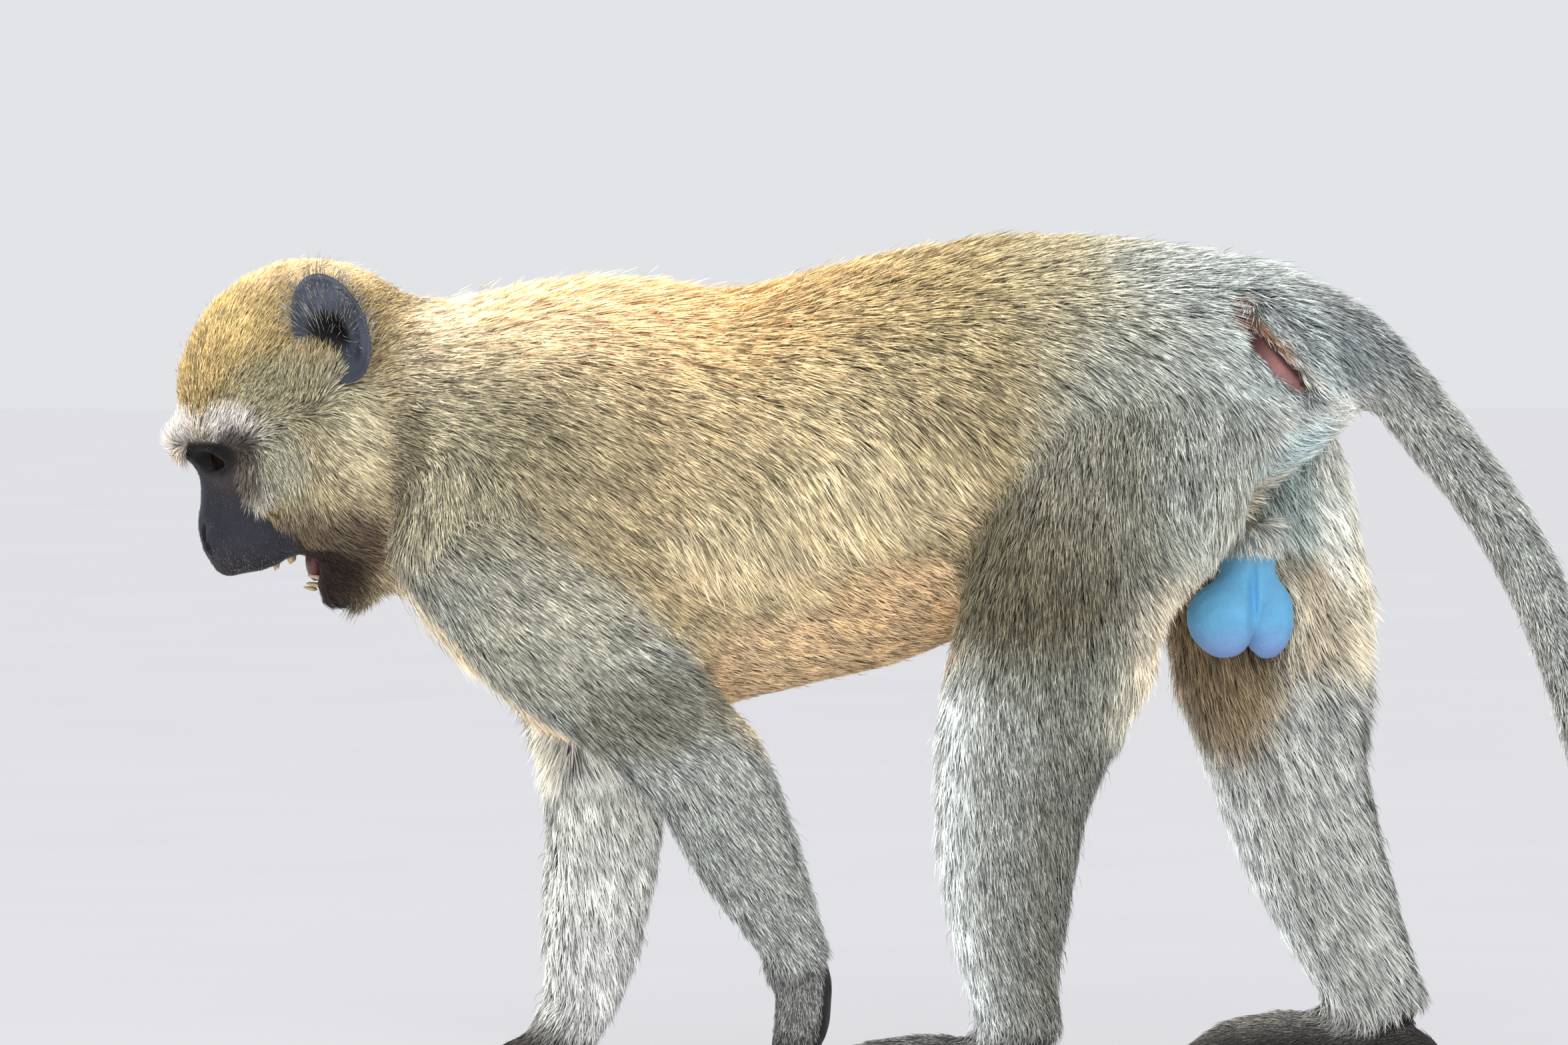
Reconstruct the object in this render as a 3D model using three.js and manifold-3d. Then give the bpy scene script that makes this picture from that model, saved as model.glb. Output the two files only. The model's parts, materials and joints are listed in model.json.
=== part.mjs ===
// A life-size adult male vervet monkey (Chlorocebus pygerythrus) in mid-stride: head bent low with the jaw
// dropped, left hand behind, left foot forward, tail hanging in a long J. Sizes are in millimetres.
// The monkey faces -X, its left side is -Y, and +Z is up. The solids follow the tips of the coat.
import * as THREE from "three";
import { mergeVertices } from "three/addons/utils/BufferGeometryUtils.js";
import Module from "manifold-3d";

const wasm = await Module();
wasm.setup();

// ---------------------------------------------------------------- driving sizes
const GAP = 0.3; // left between two pieces that meet
const BLOCK = 600; // side of a cutting block, larger than any limb
const LEFT = -1;
const RIGHT = 1;

// Trunk and neck, from the throat to the root of the tail: [x, height of back, height of belly, half-width].
const TRUNK = [
  [-166, 324, 212, 38], // throat
  [-147, 328, 193, 47],
  [-122, 327, 168, 54], // nape
  [-92, 336, 146, 59], // withers and breast
  [-58, 335, 143, 60],
  [-28, 329, 158, 60], // dip behind the shoulder blades
  [8, 337, 167, 61], // last ribs
  [55, 348, 178, 62], // belly
  [100, 352.5, 200, 61], // loin
  [148, 349, 224, 58], // hips
  [192, 343, 242, 49],
  [220, 329, 264, 34], // root of the tail
];
const TRUNK_CUTS = [
  { x: -118, lean: 0.2 }, // neck from chest
  { x: -22, lean: 0 }, // chest from belly
  { x: 92, lean: 0 }, // belly from rump
];

// Limbs, from the top down: [x, y, z, half-depth fore and aft, half-width].
const LEFT_ARM = [
  [-118, -31, 286, 28, 11], // shoulder blade
  [-131, -44, 236, 34, 18], // point of the shoulder
  [-106, -52, 200, 33, 21],
  [-70, -56, 172, 30, 21],
  [-39, -55, 149, 28.5, 20.5], // elbow
  [-22, -49, 116, 25.5, 18],
  [-11, -44, 95, 22, 16],
  [-2, -38, 76, 17.5, 14],
  [5, -34, 60, 14, 12.5], // wrist
  [8.5, -33, 46, 12.4, 13.5],
  [7.5, -32, 32, 12, 15],
  [3, -32, 18, 9, 15.5], // knuckles
];
const RIGHT_ARM = [
  [-110, 31, 286, 28, 11],
  [-122, 44, 236, 33, 18],
  [-98, 51, 192, 29, 20],
  [-76, 52, 154, 27, 20], // elbow
  [-73, 48, 122, 26, 19],
  [-75, 44, 93, 25.5, 17],
  [-79, 41, 60, 22.5, 15],
  [-83, 39, 40, 18, 14],
  [-88, 38, 26, 14, 13.5], // wrist
  [-99, 37, 15, 11, 15],
  [-114, 37, 8.6, 9.6, 16], // knuckles, with the palm on the floor
];
const LEFT_LEG = [
  [157, -28, 294, 42, 22], // hip
  [142, -41, 258, 51, 31],
  [124, -49, 224, 50, 32], // thigh
  [112, -54, 194, 46, 31],
  [101, -59, 167, 41, 29], // knee
  [93, -63, 140, 36, 26.5],
  [89.5, -66, 113, 31.5, 23.5], // calf
  [89, -68, 86, 28, 20],
  [90, -70, 60, 22, 16.5],
  [94, -71, 33, 18, 14], // ankle
];
const RIGHT_LEG = [
  [174, 28, 295, 41, 22],
  [185, 42, 249, 49, 31],
  [194, 48, 211, 47, 31], // thigh
  [197, 50, 176, 42, 29], // knee
  [203, 50, 145, 36, 27],
  [211, 50, 116, 33, 24], // calf
  [222, 50, 84, 29.5, 20.5],
  [236, 50, 53, 24, 16.5],
  [248, 50, 31, 19, 14], // ankle
];
const ELBOW = { left: 4, right: 3 }; // stations where the limbs are parted
const WRIST = { left: 8, right: 8 };
const KNEE = { left: 4, right: 3 };
const ANKLE = { left: 9, right: 8 };

// A sole from the heel forwards: [distance ahead of the heel, centre height, half-height, half-width].
const SOLE = [
  [0, 11.5, 12, 11.5], // heel
  [26, 15.5, 16, 13],
  [50, 15.5, 17.5, 14.5],
  [72, 14, 17, 16.5], // instep
  [92, 8.5, 12, 18], // ball, where the toes begin
];
const LEFT_HEEL = { x: 108, y: -72, turn: 0.02 };
const RIGHT_HEEL = { x: 262, y: 50, turn: -0.06 };
const TOES = { starts: 88, lengths: [25, 31, 30, 24], thick: 5.6, spread: 0.12, pitch: 9.4 };
const GREAT_TOE = { starts: 46, aside: 12, length: 32, thick: 6.2, splay: 0.5 };
const FINGERS = { lengths: [27, 33, 32, 25], thick: 4.9, spread: 0.14, pitch: 8 };
const THUMB = { back: 8, aside: 11, length: 19, thick: 4.5, splay: 0.75 };

// Tail: [x, z, radius], from the root to the tip. The lowest stretch clears the floor.
const TAIL = [
  [203, 313, 22],
  [224, 307, 20],
  [240, 296, 17],
  [263, 270.5, 14.6],
  [292, 232.5, 13.8],
  [315, 184, 13],
  [331, 132, 12.3],
  [352, 82, 11.5],
  [392, 44, 10.7],
  [450, 29, 9.8],
  [511, 33, 8.8],
  [566, 54, 7.2],
  [596, 76, 4.4],
];
const TAIL_CUTS = [2, 5, 8]; // stations where the tail is parted
const TAIL_SWING = { from: 4, side: 16 }; // the free half drifts to the right

// Head.
const CRANIUM = { at: [-191, 0, 285], radii: [56, 43, 56] };
const CHEEK = { at: [-183, 0, 251], radii: [31, 45, 38] };
const CHEEKBONE = { at: [-206, 0, 257], radii: [22, 32, 22] };
const NOSE = { at: [-231, 0, 227], radii: [6.2, 8, 6.5] };
const BROW = { front: [-243.5, 267], side: [-217, 31, 271], thick: [8, 5] };
// Muzzle and jaw in level slices from the top down: [x, z, half-depth, half-width].
const MUZZLE = [
  [-213, 274, 24, 15],
  [-213, 257, 23.5, 14.5],
  [-213.5, 243, 23.5, 18],
  [-214.5, 230, 22, 20],
  [-214.5, 220, 19.5, 18.5],
  [-215, 213, 13.5, 14],
];
const JAW = [
  [-180, 242, 17, 30],
  [-180, 229, 15.5, 26],
  [-180, 217, 13.5, 21],
  [-180, 207, 12.3, 15.5],
  [-181, 200.5, 8.5, 10.5],
];
const LIP_LINE = { x: -223, z: 212, rise: 0.24 }; // the upper lip climbs to the corner of the mouth
const JAW_FRONT = { x: -193.5, z: 210, lean: 0.16 };
const MOUTH = [
  { at: [-211, 0, 213], radii: [15.5, 11, 7.5] }, // palate
  { at: [-196, 0, 219], radii: [12, 12.5, 12] }, // throat
  { at: [-194, 0, 211], radii: [6.5, 8, 9.5] }, // floor of the mouth
];
const EYE = { at: [-222.5, 13.5, 262], radius: 9, gaze: [-0.86, 0.2, -0.47] };
const LIDS = { thick: 1.6, ahead: 8.5, radii: [6.5, 7.5, 4.8] };
const EAR = { at: [-180.5, 43, 311], tall: 24, long: 18, thick: 1.9, cup: 7, flare: 0.6, lean: -0.45 };
// fang: places from the middle of the row to the long tooth on either side.
const UPPER_TEETH = { count: 10, front: [-224, 217], arch: 12.5, reach: 24, length: 5.4, thick: 2.2, fang: 4.5 };
const LOWER_TEETH = { count: 8, front: [-188, 206.5], arch: 9.5, reach: 13, length: 5.6, thick: 1.9, fang: 2.5 };
const FANG_SHARE = 1.25; // length of a fang beside its neighbours
const TONGUE = [
  [-189.5, 0, 226, 5, 9],
  [-190.5, 0, 218, 4.6, 7.5],
  [-189.5, 0, 210.5, 3.6, 5],
];
const SCROTUM = [
  { at: [178, -8.5, 195], radii: [14.8, 12.5, 17.5] },
  { at: [196, 8.5, 195.5], radii: [13, 12.5, 19] },
];
const SCROTUM_STALK = [
  [190, 0, 232, 12, 11],
  [188, 0, 217, 12.5, 12],
  [186, 0, 202, 13, 12.5],
];

// ---------------------------------------------------------------- finishes
const finish = (color, roughness) => new THREE.MeshStandardMaterial({ color, roughness, metalness: 0 });
const oliveCoat = () => finish(0xa08f63, 0.85);
const greyCoat = () => finish(0x8f8f88, 0.85);
const paleCoat = () => finish(0xb9ad90, 0.85);
const darkSkin = () => finish(0x3b3f49, 0.6);
const eyeGloss = () => finish(0x2a170c, 0.1);
const blueSkin = () => finish(0x4f9bdc, 0.55);
const pinkSkin = () => finish(0xb4857d, 0.6);

// ---------------------------------------------------------------- shapes
const SIDEWAYS = new THREE.Vector3(0, 1, 0);
const UPWARDS = new THREE.Vector3(0, 0, 1);
const CAP_BENDS = [Math.PI / 2, Math.PI / 4]; // rings that round off each end of a tube

const spline = (points) => new THREE.CatmullRomCurve3(points.map((p) => new THREE.Vector3(...p)));
const spineOf = (stations) => spline(stations.map(([x, y, z]) => [x, y, z]));
const mix = THREE.MathUtils.lerp;
const mirrored = ([x, y, z], side) => [x, side * y, z];

/** A sphere drawn out along stations of [x, y, z, half-depth, half-width] into a tube with rounded ends. */
function loftGeometry(stations, options) {
  const { around = 16, rings = 20, wide = SIDEWAYS, axis = null, taper = 0, cap = 0.5, grow = 0 } = options;
  const tube = new THREE.SphereGeometry(1, around, rings + 2 * CAP_BENDS.length);
  const spine = spineOf(stations);
  const sizes = spline(stations.map(([, , , deep, half]) => [deep + grow, half + grow, 0]));
  const spots = tube.attributes.position;
  for (let i = 0; i < spots.count; i++) {
    const angle = (2 * Math.PI * ((i % (around + 1)) % around)) / around;
    const { t, scale, past } = ringAt(Math.floor(i / (around + 1)), rings);
    const ahead = axis ?? spine.getTangent(t);
    const across = wide.clone().addScaledVector(ahead, -ahead.dot(wide)).normalize();
    const deepways = across.clone().cross(ahead);
    const { x: deep, y: half } = sizes.getPoint(t);
    const spread = scale * half * Math.cos(angle) * (1 - taper * Math.sin(angle));
    const spot = spine
      .getPoint(t)
      .addScaledVector(ahead, past * (cap * Math.min(deep, half) + grow))
      .addScaledVector(across, spread)
      .addScaledVector(deepways, scale * deep * Math.sin(angle));
    spots.setXYZ(i, spot.x, spot.y, spot.z);
  }
  return tube;
}

/** Where ring number row of a loft lies along it, how wide it is, and how far it is past the end. */
function ringAt(row, rings) {
  const caps = CAP_BENDS.length;
  const near = CAP_BENDS[row];
  const far = CAP_BENDS[rings + 2 * caps - row];
  if (near !== undefined) return { t: 0, scale: roundDown(Math.cos(near)), past: -Math.sin(near) };
  if (far !== undefined) return { t: 1, scale: roundDown(Math.cos(far)), past: Math.sin(far) };
  return { t: (row - caps) / rings, scale: 1, past: 0 };
}

const roundDown = (value) => (value < 1e-9 ? 0 : value);

/** A three.js geometry as a manifold solid. */
function solid(geometry) {
  geometry.deleteAttribute("normal");
  geometry.deleteAttribute("uv");
  const merged = mergeVertices(geometry, 1e-4);
  const vertProperties = merged.attributes.position.array;
  const triVerts = new Uint32Array(merged.index.array);
  return new wasm.Manifold(new wasm.Mesh({ numProp: 3, vertProperties, triVerts }));
}

/** A manifold solid as a flat-shaded mesh. */
function meshOf(name, body, material) {
  const { vertProperties, triVerts, numProp } = body.getMesh();
  const geometry = new THREE.BufferGeometry();
  const spots = new THREE.InterleavedBuffer(vertProperties, numProp);
  geometry.setAttribute("position", new THREE.InterleavedBufferAttribute(spots, 3, 0));
  geometry.setIndex(Array.from(triVerts));
  const faceted = geometry.toNonIndexed();
  faceted.computeVertexNormals();
  const mesh = new THREE.Mesh(faceted, material);
  mesh.name = name;
  return mesh;
}

const loft = (stations, options = {}) => solid(loftGeometry(stations, options));
const join = (...solids) => solids.reduce((whole, next) => whole.add(next));
const cut = (whole, ...tools) => tools.reduce((left, tool) => left.subtract(tool), whole);

/** The largest body of a solid, without the slivers that a cut may leave. */
const largest = (whole) => whole.decompose().sort((a, b) => b.volume() - a.volume())[0];

function ellipsoid({ at, radii }, { around = 18, rings = 12, grow = 0 } = {}) {
  const ball = new THREE.SphereGeometry(1, around, rings);
  ball.rotateX(Math.PI / 2);
  ball.scale(...radii.map((r) => r + grow));
  return solid(ball.translate(...at));
}

/** A block whose flat face crosses a tube at station number index, on the side that way (+1 or -1) points to. */
function blockPast(stations, index, way) {
  const t = index / (stations.length - 1);
  const spine = spineOf(stations);
  const ahead = spine.getTangent(t).multiplyScalar(way);
  const block = new THREE.BoxGeometry(BLOCK, BLOCK, BLOCK).translate(0, 0, (BLOCK - GAP) / 2);
  block.applyQuaternion(new THREE.Quaternion().setFromUnitVectors(UPWARDS, ahead));
  return solid(block.translate(...spine.getPoint(t).toArray()));
}

/** Parts a tube at the given stations with thin cuts and returns its lengths in order. */
function partAt(tube, stations, cuts) {
  const lengths = [];
  for (let i = 0; i <= cuts.length; i++) {
    const tools = [];
    if (i > 0) tools.push(blockPast(stations, cuts[i - 1], -1));
    if (i < cuts.length) tools.push(blockPast(stations, cuts[i], 1));
    lengths.push(largest(cut(tube, ...tools)));
  }
  return lengths;
}

// ---------------------------------------------------------------- trunk
const trunkStations = TRUNK.map(([x, back, belly, half]) => [x, 0, (back + belly) / 2, (back - belly) / 2, half]);
const ALONG_TRUNK = new THREE.Vector3(1, 0, 0);
const makeTrunk = (grow = 0) =>
  loft(trunkStations, { around: 18, rings: 13, axis: ALONG_TRUNK, taper: 0.1, cap: 0.4, grow });

/** The neck, chest, belly and rump, parted by upright slabs. */
function partTrunk(trunk) {
  const slabs = TRUNK_CUTS.map(({ x, lean }) => {
    const slab = new THREE.BoxGeometry(GAP, 300, 500).rotateY(lean);
    return solid(slab.translate(x, 0, 250));
  });
  const bodies = cut(trunk, ...slabs).decompose();
  return bodies.sort((a, b) => a.boundingBox().min[0] - b.boundingBox().min[0]);
}

// ---------------------------------------------------------------- limbs
const makeLimb = (stations, grow = 0) => loft(stations, { around: 10, rings: 10, cap: 0.6, grow });
const belowFloor = solid(new THREE.BoxGeometry(1200, 400, 60).translate(100, 0, -30));

/** A finger or toe: from its knuckle it arches forward and comes down to the floor. */
function digit({ from: [x, y, z], length, thick, heading, arch }) {
  const ground = thick * 0.58;
  const at = (share, up, size) => [
    x - Math.cos(heading) * length * share,
    y + Math.sin(heading) * length * share,
    up,
    size,
    size,
  ];
  const stations = [
    at(-0.15, z, thick),
    at(0.3, mix(ground, z, 0.6) + length * arch, thick),
    at(0.68, ground + length * arch * 0.3, thick * 0.9),
    at(1, ground - 0.5, thick * 0.74),
  ];
  return loft(stations, { around: 6, rings: 2, cap: 0.8 });
}

/** Four digits side by side, splayed like a fan. side is where the first one is: +1 towards +Y. */
function digitRow([x, y, z], { lengths, thick, spread, pitch }, heading, side, arch) {
  const middle = (lengths.length - 1) / 2;
  return lengths.map((length, i) => {
    const place = middle - i;
    return digit({
      from: [x + Math.abs(place) * 2, y + side * place * pitch, z],
      length,
      thick: thick * (1 - 0.04 * i),
      heading: heading + side * place * spread,
      arch,
    });
  });
}

/** A foot from its heel. inner is the side of the great toe: +1 towards +Y. */
function makeFoot({ x, y, turn }, inner) {
  const place = (ahead, aside = 0) => [
    x - Math.cos(turn) * ahead + Math.sin(turn) * aside,
    y + Math.sin(turn) * ahead + Math.cos(turn) * aside,
  ];
  const sole = loft(SOLE.map(([ahead, up, high, half]) => [...place(ahead), up, high, half]), {
    around: 8,
    rings: 5,
    cap: 0.8,
  });
  const toes = digitRow([...place(TOES.starts), 9], TOES, turn, inner, 0.08);
  const greatToe = digit({
    from: [...place(GREAT_TOE.starts, inner * GREAT_TOE.aside), 9],
    length: GREAT_TOE.length,
    thick: GREAT_TOE.thick,
    heading: turn + inner * GREAT_TOE.splay,
    arch: 0.04,
  });
  return join(sole, ...toes, greatToe);
}

/** The fingers and thumb of the hand whose knuckles end an arm. */
function makeFingers(stations, inner) {
  const [x, y, z] = stations.at(-1);
  const thumb = digit({
    from: [x + THUMB.back, y + inner * THUMB.aside, z],
    length: THUMB.length,
    thick: THUMB.thick,
    heading: inner * THUMB.splay,
    arch: 0.06,
  });
  return join(...digitRow([x, y, z * 0.8], FINGERS, 0, inner, 0.12), thumb);
}

function makeArm(stations, cuts, inner) {
  const [upper, fore, palm] = partAt(makeLimb(stations), stations, cuts);
  const hand = cut(join(palm, makeFingers(stations, inner)), belowFloor);
  return { upper, fore, hand: largest(hand) };
}

function makeLeg(stations, cuts, heel, inner) {
  const [thigh, shank, ankle] = partAt(makeLimb(stations), stations, [cuts[0], cuts[1]]);
  const fatShank = partAt(makeLimb(stations, GAP), stations, [cuts[0], cuts[1]])[1];
  const foot = cut(join(ankle, makeFoot(heel, inner)), fatShank.translate([0, 0, -GAP]), fatShank, belowFloor);
  return { thigh, shank, foot: largest(foot) };
}

// ---------------------------------------------------------------- tail
const tailStations = TAIL.map(([x, z, radius], i) => {
  const drift = Math.max(0, i - TAIL_SWING.from) / (TAIL.length - 1 - TAIL_SWING.from);
  return [x, TAIL_SWING.side * drift * drift, z, radius, radius];
});
const makeTail = (grow = 0) => loft(tailStations, { around: 8, rings: 22, cap: 1, grow });

// ---------------------------------------------------------------- head
const DOWNWARDS = new THREE.Vector3(0, 0, -1);
const inSlices = (slices, around, grow) =>
  loft(slices.map(([x, z, deep, half]) => [x, 0, z, deep, half]), {
    around,
    rings: 6,
    axis: DOWNWARDS,
    taper: 0.16,
    cap: 0.3,
    grow,
  });

function makeBrow(grow) {
  const [frontX, frontZ] = BROW.front;
  const [sideX, sideY, sideZ] = BROW.side;
  const stations = [-1, -0.5, 0, 0.5, 1].map((share) => {
    const bend = share * share;
    const thick = mix(...BROW.thick, bend);
    return [mix(frontX, sideX, bend), sideY * share, mix(frontZ, sideZ, bend), thick, thick];
  });
  return loft(stations, { around: 8, rings: 6, wide: UPWARDS, cap: 0.9, grow });
}

const makeSkull = (grow = 0) =>
  join(
    ellipsoid(CRANIUM, { around: 16, rings: 11, grow }),
    ellipsoid(CHEEK, { around: 12, rings: 8, grow }),
    ellipsoid(CHEEKBONE, { around: 10, rings: 7, grow }),
    ellipsoid(NOSE, { around: 8, rings: 6, grow }),
    makeEye(LEFT, LIDS.thick + grow),
    makeEye(RIGHT, LIDS.thick + grow),
    inSlices(MUZZLE, 12, grow),
    makeBrow(grow),
  );

/** What is open between the dropped jaw and the palate. */
function makeMouth() {
  const below = new THREE.BoxGeometry(120, 120, 60).translate(0, 0, -30).rotateY(-Math.atan(LIP_LINE.rise));
  const front = new THREE.BoxGeometry(80, 120, 80).translate(-40, 0, 0).rotateY(-JAW_FRONT.lean);
  const gape = solid(below.translate(LIP_LINE.x, 0, LIP_LINE.z)).intersect(
    solid(front.translate(JAW_FRONT.x, 0, JAW_FRONT.z)),
  );
  return join(gape, ...MOUTH.map((hollow) => ellipsoid(hollow, { around: 8, rings: 6 })));
}

/** A tooth from its root towards its tip. */
function tooth(root, tip, length, thick) {
  const at = (share, size) => [...root.map((value, k) => value + tip[k] * length * share), size, size];
  return loft([at(0, thick), at(0.6, thick * 0.95), at(1, thick * 0.45)], {
    around: 4,
    rings: 1,
    cap: 0.5,
  });
}

/** How far back along the jaw, from 0, and how far aside, from -1 to 1, tooth i of a bent row stands. */
function archPlace(i, count) {
  const angle = (i / (count - 1) - 0.5) * 2.9;
  return { back: 1 - Math.cos(angle), aside: Math.sin(angle) };
}

const isCanine = (i, count, fang) => Math.abs(i - (count - 1) / 2) === fang;

function upperTeeth() {
  const { count, front, arch, reach, length, thick, fang } = UPPER_TEETH;
  return [...Array(count).keys()].map((i) => {
    const { back, aside } = archPlace(i, count);
    const root = [front[0] + back * reach, arch * aside, front[1] + back * reach * LIP_LINE.rise];
    return tooth(root, [0.05, 0, -1], length * (isCanine(i, count, fang) ? FANG_SHARE : 1), thick);
  });
}

function lowerTeeth() {
  const { count, front, arch, reach, length, thick, fang } = LOWER_TEETH;
  return [...Array(count).keys()].map((i) => {
    const { back, aside } = archPlace(i, count);
    const root = [front[0] - back * reach * 0.16, arch * aside, front[1] + back * reach];
    return tooth(root, [-0.98, 0, 0.18], length * (isCanine(i, count, fang) ? FANG_SHARE : 1), thick);
  });
}

/** An ear: a cupped leaf with a low point at its rear top. side is -1 for the left one. */
function makeEar(side, grow = 0) {
  const leaf = new THREE.SphereGeometry(1, 14, 6).rotateX(Math.PI / 2);
  const spots = leaf.attributes.position;
  for (let i = 0; i < spots.count; i++) {
    const [fore, out, up] = [spots.getX(i), spots.getY(i), spots.getZ(i)];
    const reach = Math.hypot(fore, up);
    const heading = Math.atan2(up, fore);
    const outline = 1 + 0.09 * Math.max(0, Math.cos(heading - 0.9)) ** 3 - 0.12 * Math.max(0, -Math.sin(heading));
    spots.setXYZ(
      i,
      (EAR.long * outline + grow) * fore,
      (EAR.thick + grow) * out + EAR.cup * (reach * reach - 1),
      (EAR.tall * outline + grow) * up,
    );
  }
  leaf.rotateZ(EAR.flare);
  leaf.rotateY(EAR.lean);
  if (side < 0) {
    leaf.scale(1, -1, 1);
    leaf.setIndex([...leaf.index.array].reverse());
  }
  return solid(leaf.translate(...mirrored(EAR.at, side)));
}

/** An ear with room for the gap around it, as a cupped leaf doesn't grow evenly. */
const fatEar = (side) => {
  const wide = makeEar(side, GAP);
  return join(makeEar(side), wide.translate([0, GAP, 0]), wide.translate([0, -GAP, 0]));
};

const makeEye = (side, grow = 0) =>
  ellipsoid({ at: mirrored(EYE.at, side), radii: Array(3).fill(EYE.radius) }, { around: 12, rings: 7, grow });

/** The opening between the lids, in front of an eye. */
function lidOpening(side) {
  const at = EYE.at.map((value, k) => value + EYE.gaze[k] * LIDS.ahead);
  return ellipsoid({ at: mirrored(at, side), radii: LIDS.radii }, { around: 8, rings: 5 });
}

// ---------------------------------------------------------------- rear
function makeScrotum(grow = 0) {
  const stalk = loft(SCROTUM_STALK, { around: 10, rings: 3, grow });
  return join(stalk, ...SCROTUM.map((lobe) => ellipsoid(lobe, { around: 10, rings: 8, grow })));
}

// ---------------------------------------------------------------- assembly
const leftArm = makeArm(LEFT_ARM, [ELBOW.left, WRIST.left], RIGHT);
const rightArm = makeArm(RIGHT_ARM, [ELBOW.right, WRIST.right], LEFT);
const leftLeg = makeLeg(LEFT_LEG, [KNEE.left, ANKLE.left], LEFT_HEEL, RIGHT);
const rightLeg = makeLeg(RIGHT_LEG, [KNEE.right, ANKLE.right], RIGHT_HEEL, LEFT);
const fatLimbs = [LEFT_ARM, RIGHT_ARM, LEFT_LEG, RIGHT_LEG].map((stations) => makeLimb(stations, GAP));

const fatEyes = join(makeEye(LEFT, GAP), makeEye(RIGHT, GAP));
const fatEars = join(fatEar(LEFT), fatEar(RIGHT));
const openLids = join(lidOpening(LEFT), lidOpening(RIGHT));
const mouth = makeMouth();
const makeTongue = (grow = 0) => loft(TONGUE, { around: 8, rings: 3, axis: DOWNWARDS, grow });
const fatTongue = makeTongue(GAP);
const fatSkull = makeSkull(GAP);
const upperJaw = join(cut(makeSkull(), mouth), ...upperTeeth());
const head = cut(upperJaw, fatEyes, openLids, fatEars, fatTongue);
const lowerJaw = join(cut(inSlices(JAW, 10, 0), mouth), ...lowerTeeth());
const jaw = cut(lowerJaw, fatSkull, fatTongue);
const fatJaw = inSlices(JAW, 10, GAP);

const fatTail = makeTail(GAP);
const scrotum = makeScrotum();
const fatScrotum = makeScrotum(GAP);
const [neck, chest, belly, rump] = partTrunk(cut(makeTrunk(), ...fatLimbs, fatTail));
const [tailRoot, tailUpper, tailMiddle, tailTip] = partAt(makeTail(), tailStations, TAIL_CUTS);

const pieces = [
  ["head", head, oliveCoat()],
  ["jaw", jaw, paleCoat()],
  ["tongue", makeTongue(), pinkSkin()],
  ["ear_left", makeEar(LEFT), darkSkin()],
  ["ear_right", makeEar(RIGHT), darkSkin()],
  ["eye_left", makeEye(LEFT), eyeGloss()],
  ["eye_right", makeEye(RIGHT), eyeGloss()],
  ["neck", cut(neck, fatSkull, fatJaw, fatEars), oliveCoat()],
  ["chest", cut(chest, fatSkull), oliveCoat()],
  ["belly", belly, oliveCoat()],
  ["rump", cut(rump, fatScrotum), greyCoat()],
  ["scrotum", scrotum, blueSkin()],
  ["tail_root", tailRoot, greyCoat()],
  ["tail_upper", tailUpper, greyCoat()],
  ["tail_middle", tailMiddle, greyCoat()],
  ["tail_tip", tailTip, greyCoat()],
];
const sides = [
  ["left", leftArm, leftLeg],
  ["right", rightArm, rightLeg],
];
for (const [side, arm, leg] of sides) {
  pieces.push(
    ["upper_arm_" + side, cut(arm.upper, fatSkull, fatJaw), greyCoat()],
    ["forearm_" + side, arm.fore, greyCoat()],
    ["hand_" + side, arm.hand, darkSkin()],
    ["thigh_" + side, cut(leg.thigh, fatScrotum, fatTail), greyCoat()],
    ["shank_" + side, leg.shank, greyCoat()],
    ["foot_" + side, leg.foot, darkSkin()],
  );
}

const monkey = new THREE.Group();
for (const [name, body, material] of pieces) monkey.add(meshOf(name, largest(body), material));

const reach = new THREE.Box3().setFromObject(monkey);
const middle = reach.getCenter(new THREE.Vector3());
const vervetMonkey = new THREE.Group();
monkey.position.set(-middle.x, -middle.y, -reach.min.z);
vervetMonkey.add(monkey);

export default vervetMonkey;
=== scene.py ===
"""Dresses the vervet monkey: one skin, a coat of fine locks, eyes, teeth, tongue and nails, on a pale floor.

Lengths inside the classes are millimetres in the body's own plan: x runs backwards to the tail, y to the
animal's right and z up from the floor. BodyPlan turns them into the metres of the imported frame.
"""

from __future__ import annotations

import json
import logging
import math
from collections.abc import Sequence
from dataclasses import dataclass, field
from enum import Enum
from typing import Any

import bpy
import numpy as np
from mathutils import Matrix, Vector
from mathutils.bvhtree import BVHTree
from mathutils.kdtree import KDTree

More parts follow.
